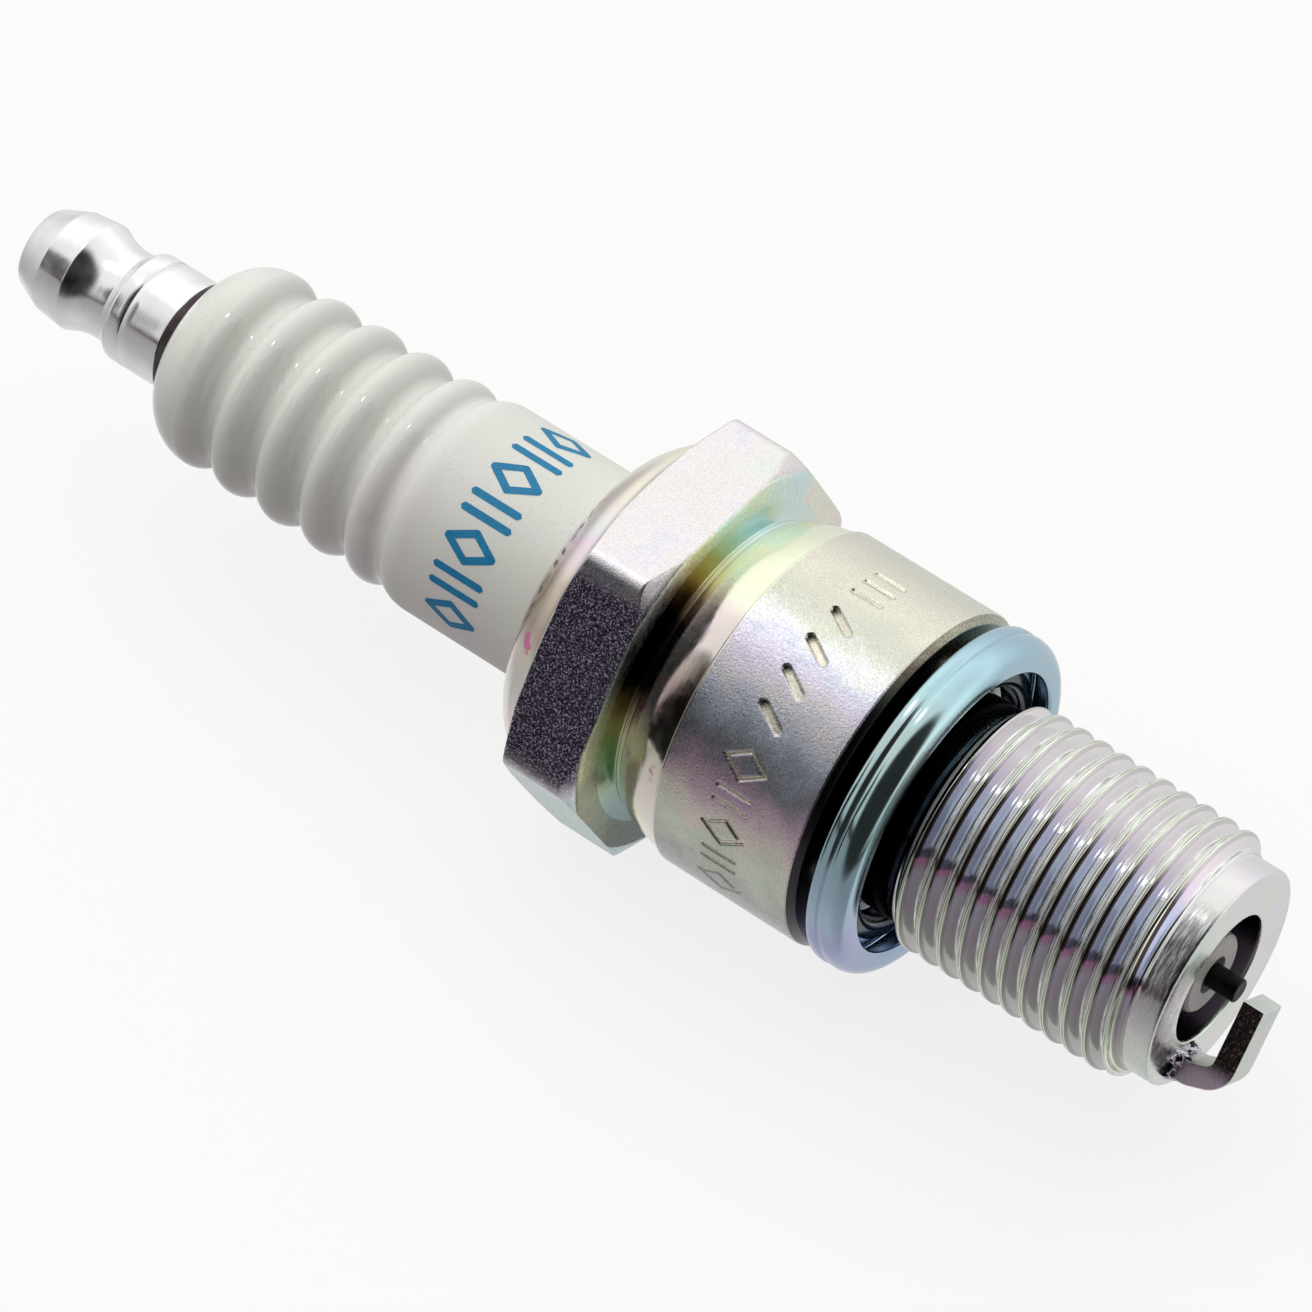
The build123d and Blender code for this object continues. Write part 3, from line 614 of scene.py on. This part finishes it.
# ---- shell: shoulder, ridge and the concave groove up to the hex ------------------------------
bulge_x = np.linspace(-8.8, -11.45, 12)
share = (bulge_x + 11.5) / 2.7
bulge_r = LIP_R + 1.04 * (0.45 * share + 0.55 * np.sqrt(1 - (1 - share) ** 2))
shoulder_step = rounded([
    (BARREL_BACK, BARREL_R, 0), (-8.58, BARREL_R, 0.05), (-8.66, 9.41, 0.04), (bulge_x[0], bulge_r[0], 0),
])
ridge = rounded([
    (-11.5, LIP_R, 0), (-11.58, 8.34, 0.03), (-11.66, 8.44, 0.06), (-11.80, 8.42, 0.06),
    (-11.86, GROOVE_R, 0.06), (GROOVE_X, GROOVE_R, 0),
])
groove = ellipse((GROOVE_X, 9.25), (0.4, 9.25 - GROOVE_R), 270, 180, 14)
shoulder = np.concatenate([shoulder_step, np.stack([bulge_x, bulge_r], 1)[1:], ridge[:1]])

# ---- shell: hex, rows of one outline cut down by the cones at both ends -------------------------
hexed = np.radians(np.arange(0, 360, 0.75))


def hex_outline():
    """The hex's radius at each angle, with rounded corners."""
    from_flat = (np.degrees(hexed) - 90 + 30) % 60 - 30
    to_corner = np.radians(np.minimum(np.abs(from_flat - 30), np.abs(from_flat + 30)))
    corner_centre = (HEX_ACROSS / 2 - HEX_CORNER) / math.cos(math.pi / 6)
    past = np.clip(HEX_CORNER**2 - (corner_centre * np.sin(to_corner)) ** 2, 0, None)
    round_r = corner_centre * np.cos(to_corner) + np.sqrt(past)
    flat_r = HEX_ACROSS / 2 / np.cos(np.radians(from_flat))
    blend_at = math.atan2(HEX_CORNER * 0.5, corner_centre + HEX_CORNER * math.cos(math.pi / 6))
    return np.where(to_corner < blend_at, round_r, flat_r)


hex_r = hex_outline()


def hex_row(x):
    """The outline at x, inside the cones that start at the two end faces."""
    front_r, back_r, cone_length, softness = 10.85, 10.5, 0.62, 0.12
    front_cone = front_r + (HEX_FRONT - x) * (HEX_SHARP_R - front_r) / cone_length
    back_cone = back_r + (x - HEX_BACK) * (HEX_SHARP_R - back_r) / cone_length
    return smooth_min(smooth_min(hex_r, front_cone, softness), back_cone, softness)


def flat_row(x, r):
    """One row of a hex grid, in the plane x."""
    return np.full_like(hex_r, x), r


def face_rows(x, inward, inner_r):
    """Rows across an end face, with a small round at its edge."""
    edge_r = hex_row(x)
    rows = [flat_row(x, inner_r + (edge_r - HEX_EDGE - inner_r) * t) for t in (0.0, 0.4, 0.8, 1.0)]
    for bend in (0.35 * math.pi / 2, 0.7 * math.pi / 2):
        row_r = edge_r - HEX_EDGE + HEX_EDGE * math.sin(bend)
        rows.append(flat_row(x + inward * HEX_EDGE * (1 - math.cos(bend)), row_r))
    return rows


def hex_grid(rows):
    return ring_grid(np.array([x for x, r in rows]), np.array([r for x, r in rows]), hexed)


cone_steps = np.linspace(0, 0.9, 14)[2:]        # closer rows where the cones cut the flats
side_x = np.concatenate([
    [HEX_FRONT - HEX_EDGE * 1.5], HEX_FRONT - cone_steps,
    np.linspace(HEX_FRONT - 1.2, HEX_BACK + 1.2, 6),
    HEX_BACK + cone_steps[::-1], [HEX_BACK + HEX_EDGE * 1.5],
])
first_side = flat_row(HEX_FRONT - HEX_EDGE, hex_row(HEX_FRONT))
last_side = flat_row(HEX_BACK + HEX_EDGE, hex_row(HEX_BACK))
side_rows = [first_side] + [flat_row(x, hex_row(x)) for x in side_x] + [last_side]
front_rows = face_rows(HEX_FRONT, -1, 9.25) + [first_side]
back_rows = [last_side] + face_rows(HEX_BACK, 1, 9.5)[::-1]

# ---- shell: the lip crimped over the insulator ------------------------------------------------
crimp = rounded([
    (-16.7, 9.85, 0), (-17.0, 9.78, 0.1), (-17.25, 9.6, 0.2), (-17.9, 9.4, 0.5), (-18.62, 8.78, 0.6),
    (-19.15, 8.1, 0.5), (-19.36, 7.2, 0.5), (-19.28, 6.6, 0.3), (-18.85, 6.1, 0.1), (-18.3, 6.4, 0),
], 7)

plates = [
    satin_plate(), bright_plate(), gold_plate(), thread_plate(),
    rim_plate(), flats_plate(), face_plate(), shade_plate(),
]
SATIN, BRIGHT, GOLD, THREAD, RIM, FLATS, FACE, SHADE = range(len(plates))
shell = build("shell_body", [
    (lathe(neck, even), SHADE),
    (ring_grid(thread_x, thread_r, even), THREAD),
    (lathe(rim, even), RIM),
    (lathe(bore, even), SHADE),
    (lathe(seat_face, even), SHADE),
    (lathe(barrel_front, marked), SATIN),
    (ring_grid(grid_x[::-1], marked_r[::-1], marked), SATIN),
    (lathe(barrel_back, even), SATIN),
    (lathe(densify(shoulder, 0.5), even), BRIGHT),
    (lathe(densify(ridge, 0.4), even), GOLD),
    (lathe(groove, even), GOLD),
    (hex_grid(front_rows), FACE),
    (hex_grid(side_rows), FLATS),
    (hex_grid(back_rows), FACE),
    (lathe(crimp, even), BRIGHT),
], plates)
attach(shell, "plug")
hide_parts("shell")


# ---- insulator, stud, electrodes and packings keep their CAD shape ----------------------------
def paint(node, material):
    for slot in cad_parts[node].material_slots:
        slot.material = material


def glaze():
    """White glaze, glossy with a few painted white glints on the lit side of the ribs, and duller on the
    plain barrel.
    """
    look = Look("glazed_alumina", Coat_Roughness=0.05, IOR=1.6)
    look.shader.inputs["Subsurface Weight"].default_value = 0.1
    look.shader.inputs["Subsurface Radius"].default_value = (0.6, 0.55, 0.5)
    look.shader.inputs["Subsurface Scale"].default_value = 0.5 * MM
    milk = look.ramp(look.noise(7.0, 2, seed=0.01), [
        (0.3, (0.77, 0.80, 0.75)), (0.5, (0.80, 0.81, 0.77)), (0.7, (0.81, 0.79, 0.79)),
    ])
    milk = look.mix(look.span(look.noise(0.3, 2), 0.64, 0.76, 0.0, 0.22), milk, (0.62, 0.62, 0.58))
    lit_side = look.angular([
        (0, 0.0), (92, 0.0), (99, 1.0), (119, 1.0), (128, 0.0), (350, 0.0),
    ], 2.0, 8.0)
    # painted glints: white specks on the side facing the light
    glint = look.math("MULTIPLY", look.span(look.noise(0.15, 1, seed=0.05), 0.65, 0.70), lit_side)
    look.bump(glint, 0.03, 0.8)
    look.bump(look.noise(1.6, 3), 0.008, 0.5)
    x = look.axes()[0]
    ribs_end, barrel_start = -30.0 * MM, -28.0 * MM
    look.put(look.span(x, ribs_end, barrel_start, 0.35, 0.0), look.shader.inputs["Coat Weight"])
    return look.done(look.mix(glint, milk, WHITE), look.span(x, ribs_end, barrel_start, 0.09, 0.42))


def turned(name, colour, dark, roughness, seed=0.0):
    """Turned metal with tool marks round the axis."""
    look = Look(name, Metallic=1.0)
    look.bump(look.noise(0.09, 2, stretch=(1, 0.03, 0.03)), 0.004, 0.6)
    look.bump(look.noise(0.8, 2, seed=seed), 0.004, 0.5)
    tint = look.mix(look.span(look.noise(1.5, 3, seed=seed), 0.35, 0.7), colour, dark)
    return look.done(tint, look.patchy(1.0, *roughness, seed=seed))


paint("insulator", glaze())
paint("terminal_stud", turned("stud_steel", (0.13, 0.12, 0.11), (0.07, 0.05, 0.06), (0.35, 0.5), 0.03))
dark_nickel = turned("nickel_dark", (0.035, 0.035, 0.03), (0.012, 0.012, 0.012), (0.4, 0.55), 0.04)
paint("centre_electrode", dark_nickel)
paint("electrode_core", turned("copper_core", (0.80, 0.45, 0.30), (0.62, 0.30, 0.20), (0.2, 0.35), 0.05))
packing = turned("packing_steel", (0.55, 0.55, 0.55), (0.40, 0.40, 0.40), (0.25, 0.4), 0.07)
for ring in ("seat_packing", "lower_packing_ring", "upper_packing_ring"):
    paint(ring, packing)

# ---- terminal nut -----------------------------------------------------------------------------
aluminium = turned("bright_aluminium", (0.96, 0.96, 0.96), (0.88, 0.87, 0.88), (0.15, 0.26))
nut_line = rounded([
    (NUT_END, 0.0, 0), (NUT_END, 2.24, 0.1), (-54.95, 2.66, 0.05), (-54.3, 2.94, 0.05),
    (-52.62, NUT_R, 0.08), (-51.9, 2.78, 0.5), (-51.1, NUT_WAIST_R, 0.3), (-49.95, NUT_WAIST_R, 0.2),
    (-49.72, 2.92, 0.12), (-49.42, NUT_R, 0.14), (-48.66, NUT_R, 0), (-48.56, 3.06, 0.03),
    (-48.46, NUT_R, 0), (-46.1, NUT_R, 0.08), (NUT_OPEN, 3.02, 0.03), (NUT_OPEN, NUT_BORE_R, 0.05),
    (-53.6, NUT_BORE_R, 0),
])
nut = build("terminal_cap", [(lathe(densify(nut_line, 0.5), even), 0)], [aluminium])
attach(nut, "terminal_nut")
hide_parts("terminal_nut")


# ---- gasket: one strip of sheet rolled into two beads -----------------------------------------
def blued_steel():
    """Blue-green film on the gasket, with painted reflections round it and painted shade dark inside its
    bore.
    """
    look = Look("gasket_blue", Metallic=1.0)
    # painted reflections: brighter near 100 degrees, darker underneath
    tint = look.angular([
        (0, (0.40, 0.56, 0.66)), (75, (0.40, 0.58, 0.68)), (100, (0.50, 0.74, 0.78)),
        (118, (0.52, 0.66, 0.66)), (150, (0.46, 0.68, 0.70)), (175, (0.42, 0.56, 0.68)),
        (195, (0.42, 0.44, 0.66)), (230, (0.34, 0.44, 0.60)), (340, (0.40, 0.54, 0.64)),
    ], 3.0, 8.0)
    # painted shade inside the bore
    tint = look.mix(look.span(look.radius(), 7.7 * MM, 8.0 * MM), (0.04, 0.05, 0.06), tint)
    look.bump(look.noise(0.5, 2, stretch=(1, 0.3, 0.3)), 0.004, 0.5)
    return look.done(tint, look.patchy(1.0, 0.11, 0.17))


def rolled_strip(back, sheet):
    """The strip's outline, from the x of its back and the thickness of its sheet."""
    front = back + 2.25
    return np.concatenate([
        [(back + 1.35, 7.7), (back + 1.5, 6.9)],
        ellipse((back + 1.2, 7.0), (0.3, 0.3), 0, -90, 5),
        ellipse((back + 0.3, 7.0), (0.3, 0.3), 270, 180, 5),
        ellipse((back + 0.42, 9.18), (0.42, 0.44), 180, 90, 7),
        ellipse((back + 0.62, 9.2), (0.3, 0.42), 90, 40, 5),
        ellipse((back + 1.2, 8.62), (1.05, 0.98), 104, 0, 16),
        ellipse((front - 0.2, 8.15), (0.2, 0.15), 0, -90, 5),
        ellipse((front - 1.0, 8.6), (1.0 - sheet, 0.62), 0, 90, 7),
        ellipse((back + 0.6, 9.0), (0.6 - sheet, 0.25), 90, 180, 5),
        [(back + sheet, 7.3), (back + 1.1, 7.3), (back + 1.15, 7.7), (back + 1.35, 7.7)],
    ])


BACK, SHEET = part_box("gasket")[0].x / MM, 0.34
strip = densify(rolled_strip(BACK, SHEET), 0.4)
rolled_gasket = build("gasket_ring", [(lathe(strip, even), 0)], [blued_steel()])
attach(rolled_gasket, "gasket")
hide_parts("gasket")

# ---- ground electrode and its weld ------------------------------------------------------------
outward = Vector((0, math.cos(STRAP_ANGLE), math.sin(STRAP_ANGLE)))
across = Vector((0, -outward.z, outward.y))


def strap_nickel():
    """The strap's two sheared sides are dark and torn, but pinkish out at its bend and foot."""
    look = Look("nickel_strap", Metallic=1.0)
    facing = look.dot(look.node("ShaderNodeTexCoord").outputs["Normal"], across)
    sheared = look.span(look.math("ABSOLUTE", facing), 0.55, 0.85)
    bend = look.span(look.dot(look.place, outward), 3.3 * MM, 4.5 * MM)
    tear = look.noise(0.16, 4, 0.7)
    torn = look.ramp(look.span(tear, 0.3, 0.7), [
        (0.0, (0.012, 0.01, 0.01)), (0.65, (0.05, 0.04, 0.04)), (0.88, (0.18, 0.11, 0.08)),
        (1.0, (0.34, 0.34, 0.46)),
    ])
    torn = look.mix(bend, torn, (0.74, 0.60, 0.72))
    smooth = look.film(2.2, [
        (0.0, (0.62, 0.70, 0.66)), (0.5, (0.72, 0.72, 0.68)), (1.0, (0.74, 0.66, 0.70)),
    ], 0.04)
    look.bump(tear, 0.05, 0.7)
    return look.done(look.mix(sheared, smooth, torn), look.span(tear, 0.3, 0.7, 0.26, 0.42))


def weld_metal():
    """Scorched black patches on bright metal."""
    look = Look("weld_metal", Metallic=1.0)
    scorched = look.noise(0.5, 3, 0.55)
    tint = look.ramp(look.span(scorched, 0.3, 0.7), [
        (0.0, (0.01, 0.01, 0.01)), (0.42, (0.03, 0.03, 0.03)), (0.5, (0.60, 0.55, 0.64)),
        (1.0, (0.86, 0.80, 0.90)),
    ])
    look.bump(scorched, 0.25, 1.0)
    return look.done(tint, 0.18)


def weld_lump():
    """A ragged lump round the strap's foot: rings from its sunk edge to its middle."""
    half_u, half_v = 1.0, 1.75                  # its half widths, outwards and across the strap
    share = np.linspace(1.0, 0.0, 15)[:, None]
    angle = (np.arange(72) * 2 * math.pi / 72)[None, :]
    lumps = 0.5 + 0.22 * np.sin(3 * angle + 4 * share) + 0.16 * np.sin(7 * angle - 9 * share)
    lumps = lumps + 0.14 * np.sin(11 * angle + 17 * share)
    ragged = 1 + 0.12 * np.sin(5 * angle + 0.6) + 0.08 * np.sin(9 * angle)
    height = 0.15 + 0.85 * np.sqrt(np.clip(1 - share**2, 0, None)) * lumps
    height = np.where(share == 1.0, -0.05, height)
    u = share * ragged * np.cos(angle) * half_u + STRAP_FOOT
    v = share * ragged * np.sin(angle) * half_v
    y, z = u * outward.y + v * across.y, u * outward.z + v * across.z
    return np.stack([REACH + height, y, z], -1) * MM


paint("ground_electrode", strap_nickel())
flash = build("weld_flash", [(weld_lump(), 0)], [weld_metal()])
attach(flash, "plug")


# ---- inner pieces -----------------------------------------------------------------------------
def powder(name, colour, dark, grain, roughness):
    """A packed or sintered powder with grains of about that size."""
    look = Look(name, Roughness=roughness)
    speck = look.noise(grain, 4, 0.6)
    look.bump(speck, 0.05, 0.7)
    return look.done(look.mix(look.span(speck, 0.35, 0.65), dark, colour))


seal = powder("seal_glass", (0.24, 0.20, 0.18), (0.10, 0.09, 0.09), 0.15, 0.35)
paint("upper_glass_seal", seal)
paint("lower_glass_seal", seal)
paint("resistor", powder("resistor_mix", (0.16, 0.16, 0.16), (0.06, 0.06, 0.06), 0.2, 0.6))
paint("talc_ring", powder("packed_talc", (0.86, 0.85, 0.80), (0.74, 0.72, 0.68), 0.12, 0.9))


# ---- printed band on the insulator: plain diamonds and bars -----------------------------------
def blue_ink():
    look = Look("blue_ink", Roughness=0.5, Specular_IOR_Level=0.3)
    look.bump(look.noise(0.1, 2), 0.004, 0.4)
    ink_wear_and_rim_reflection = look.span(look.noise(0.12, 3), 0.4, 0.7, 0.0, 0.5)
    return look.done(look.mix(ink_wear_and_rim_reflection, (0.01, 0.21, 0.44), (0.03, 0.32, 0.55)))


def stroke(points):
    """A printed line with round ends through (x, degrees) points, as four rows for each run."""
    flat = [np.array([x, math.radians(a) * PRINT_R]) for x, a in points]
    parts = []
    for a, b in zip(flat, flat[1:]):
        length = np.linalg.norm(b - a)
        along = (b - a) / length
        sideways = np.array([-along[1], along[0]])
        run = np.linspace(-PRINT_WIDTH / 2, length + PRINT_WIDTH / 2, 25)
        past = np.clip(np.maximum(-run, run - length), 0, None)
        half_width = np.sqrt(np.clip((PRINT_WIDTH / 2) ** 2 - past**2, 1e-5, None))
        parts.append([
            [a + along * t + sideways * h * side for t, h in zip(run, half_width)]
            for side in (-1, -0.33, 0.33, 1)
        ])
    return parts


def band_strokes():
    """Diamonds and pairs of bars in turn, round the near side."""
    middle, diamond_half, bar_half = (PRINT_LOW + PRINT_HIGH) / 2, 7.5, 4.5
    strokes = []
    for k, at in enumerate(np.linspace(182, 60, 7)):
        if k % 2 == 0:
            left, right = (middle, at - diamond_half), (middle, at + diamond_half)
            strokes += stroke([(PRINT_LOW, at), left, (PRINT_HIGH, at), right, (PRINT_LOW, at)])
        else:
            for side in (at - bar_half, at + bar_half):
                strokes += stroke([(PRINT_LOW, side), (PRINT_HIGH, side)])
    return strokes


def printed(name, parts):
    """The flat rows wrapped round the insulator, as one mesh."""
    verts, faces = [], []
    for part in parts:
        base, cols = len(verts), len(part[0])
        for row in part:
            for x, arc_length in row:
                a = arc_length / PRINT_R
                verts.append((x * MM, PRINT_R * math.cos(a) * MM, PRINT_R * math.sin(a) * MM))
        for i in range(len(part) - 1):
            for j in range(cols - 1):
                k = base + i * cols + j
                faces.append((k, k + cols, k + cols + 1, k + 1))
    mesh = bpy.data.meshes.new(name)
    mesh.from_pydata(verts, [], faces)
    mesh.polygons.foreach_set("use_smooth", [True] * len(faces))
    mesh.materials.append(blue_ink())
    return add_object(name, mesh)


band = printed("printed_band", band_strokes())
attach(band, "plug")
band.visible_glossy = False


# ---- floor, and a black card seen only as a reflection; from here sizes are in metres -------------
def staged_plane(name, corners, material):
    mesh = bpy.data.meshes.new(name)
    mesh.from_pydata(corners, [], [(0, 1, 2, 3)])
    mesh.materials.append(material)
    plane = add_object(name, mesh)
    return plane


def pale_floor():
    """Faint under the plug, and clear a little way off."""
    look = Look("pale_floor", Roughness=0.9, Specular_IOR_Level=0.1)
    far = look.node("ShaderNodeVectorMath", operation="LENGTH")
    look.put(look.place, far.inputs[0])
    look.put(look.span(far.outputs["Value"], 0.05, 0.15, 0.2, 0.0), look.shader.inputs["Alpha"])
    return look.done((0.92, 0.92, 0.92))


low, high = cad_box
half = 0.5
floor = staged_plane("floor", [
    (-half, -half, 0), (half, -half, 0), (half, half, 0), (-half, half, 0),
], pale_floor())
floor.location = ((low.x + high.x) / 2, 0, low.z - 0.00005)
floor.visible_diffuse = False
floor.visible_glossy = False

# the card stands in front of the hex and the seat barrel
card_x, card_y, card_z = (-0.042, -0.018), -0.034, (-0.008, 0.026)
card = staged_plane("card", [
    (card_x[0], card_y, card_z[0]), (card_x[1], card_y, card_z[0]),
    (card_x[1], card_y, card_z[1]), (card_x[0], card_y, card_z[1]),
], Look("black_card", Specular_IOR_Level=0.0).done((0.01, 0.01, 0.01)))
card.visible_camera = False
card.visible_diffuse = False
card.visible_shadow = False


# ---- world: one light for matt surfaces, one for reflections, and white behind everything ---------
def mirrored(studio, direction):
    """What the metal mirrors: grey in front, brighter behind, and two dark gaps."""
    split = studio.node("ShaderNodeSeparateXYZ")
    studio.put(direction, split.inputs[0])
    dx, dy, dz = split.outputs
    height = studio.math("ADD", dz, studio.math("MULTIPLY", studio.math("MAXIMUM", dx, 0.0), 0.6))

    def by_height(stops):
        """Brightness or colour against the height of the direction, -1 to 1."""
        fac = studio.math("MULTIPLY", studio.math("ADD", height, 1.0), 0.5)
        return studio.ramp(fac, [((at + 1) / 2, tint) for at, tint in stops])

    def toward(way, wide, narrow):
        """1 in the directions within narrow degrees of way, 0 beyond wide degrees."""
        near = studio.dot(direction, Vector(way).normalized())
        return studio.span(near, math.cos(math.radians(wide)), math.cos(math.radians(narrow)))

    front = by_height([
        (-1, 0.62), (-0.85, 0.62), (-0.5, 0.46), (-0.15, 0.36), (0.08, (0.34, 0.33, 0.34)),
        (0.12, (0.38, 0.26, 0.32)), (0.14, 0.03), (0.215, 0.03), (0.27, 0.5), (0.45, 0.82), (1.0, 0.9),
    ])
    behind = by_height([
        (-1, 0.70), (-0.4, 0.76), (0.0, 0.84), (0.33, 1.0), (0.6, 1.18), (0.85, 1.04), (1.0, 0.92),
    ])
    tipward = by_height([(-1, 0.4), (-0.3, 0.45), (0.0, 0.6), (0.3, 0.85), (0.6, 1.0), (1.0, 1.0)])
    shown = studio.mix(studio.span(dy, -0.12, 0.12), front, behind)
    shown = studio.mix(toward((0.60, -0.62, 0.50), 57, 44), shown, (0.03, 0.03, 0.03))
    shown = studio.mix(toward((-0.66, -0.61, 0.44), 19, 13), shown, (0.06, 0.06, 0.06))
    return studio.mix(studio.span(dx, -0.62, -0.85), shown, tipward)


def soft_top(studio, direction):
    """The light on matt surfaces, from above the terminal end."""
    lamp = studio.dot(direction, Vector((-0.62, 0.26, 0.86)).normalized())
    return studio.mix(studio.span(lamp, 0.12, 0.98), (0.225, 0.20, 0.205), (1.50, 1.52, 1.455))


def light_world(world):
    world.use_nodes = True
    world.cycles.sampling_method = "NONE"
    world.node_tree.nodes.clear()
    studio = Nodes(world.node_tree)
    direction = studio.node("ShaderNodeTexCoord").outputs["Generated"]
    path = studio.node("ShaderNodeLightPath").outputs

    def background(colour):
        n = studio.node("ShaderNodeBackground")
        studio.put(colour, n.inputs["Color"])
        return n.outputs[0]

    def choose(ray, otherwise, then):
        n = studio.node("ShaderNodeMixShader")
        studio.put(path[ray], n.inputs["Fac"])
        studio.put(otherwise, n.inputs[1])
        studio.put(then, n.inputs[2])
        return n.outputs[0]

    glossy, diffuse = background(mirrored(studio, direction)), background(soft_top(studio, direction))
    lit = choose("Is Diffuse Ray", glossy, diffuse)
    seen = choose("Is Camera Ray", lit, background(WHITE))
    studio.put(seen, studio.node("ShaderNodeOutputWorld").inputs["Surface"])


scene.world = bpy.data.worlds.new("studio")
light_world(scene.world)

# ---- key light --------------------------------------------------------------------------------
VIEW_CENTRE = Vector((-0.01302, -0.00392, 0.00327))
KEY_WAY, KEY_DISTANCE = Vector((-0.357, 0.057, 0.932)), 0.42
key_data = bpy.data.lights.new("key", "AREA")
key_data.shape = "RECTANGLE"
key_data.size = 0.03
key_data.size_y = 0.02
key_data.energy = 0.07
key_light = add_object("key", key_data)
key_light.location = VIEW_CENTRE + KEY_WAY * KEY_DISTANCE
key_light.rotation_euler = KEY_WAY.to_track_quat("Z", "Y").to_euler()
key_light.visible_diffuse = False

# ---- camera -----------------------------------------------------------------------------------
VIEW_DISTANCE = 0.39708
camera_data = bpy.data.cameras.new("view")
camera_data.lens = 219.5
camera_data.sensor_width = 36
camera_data.clip_start = 0.01
camera = add_object("view", camera_data)
picture_right = Vector((0.7920, 0.6063, 0.0716)).normalized()
forward = Vector((-0.3574, 0.5555, -0.7508)).normalized()
up = picture_right.cross(forward).normalized()
aim = Matrix((forward.cross(up), up, -forward)).transposed().to_4x4()
camera.matrix_world = Matrix.Translation(VIEW_CENTRE - forward * VIEW_DISTANCE) @ aim
scene.camera = camera
scene.view_settings.view_transform = "Standard"
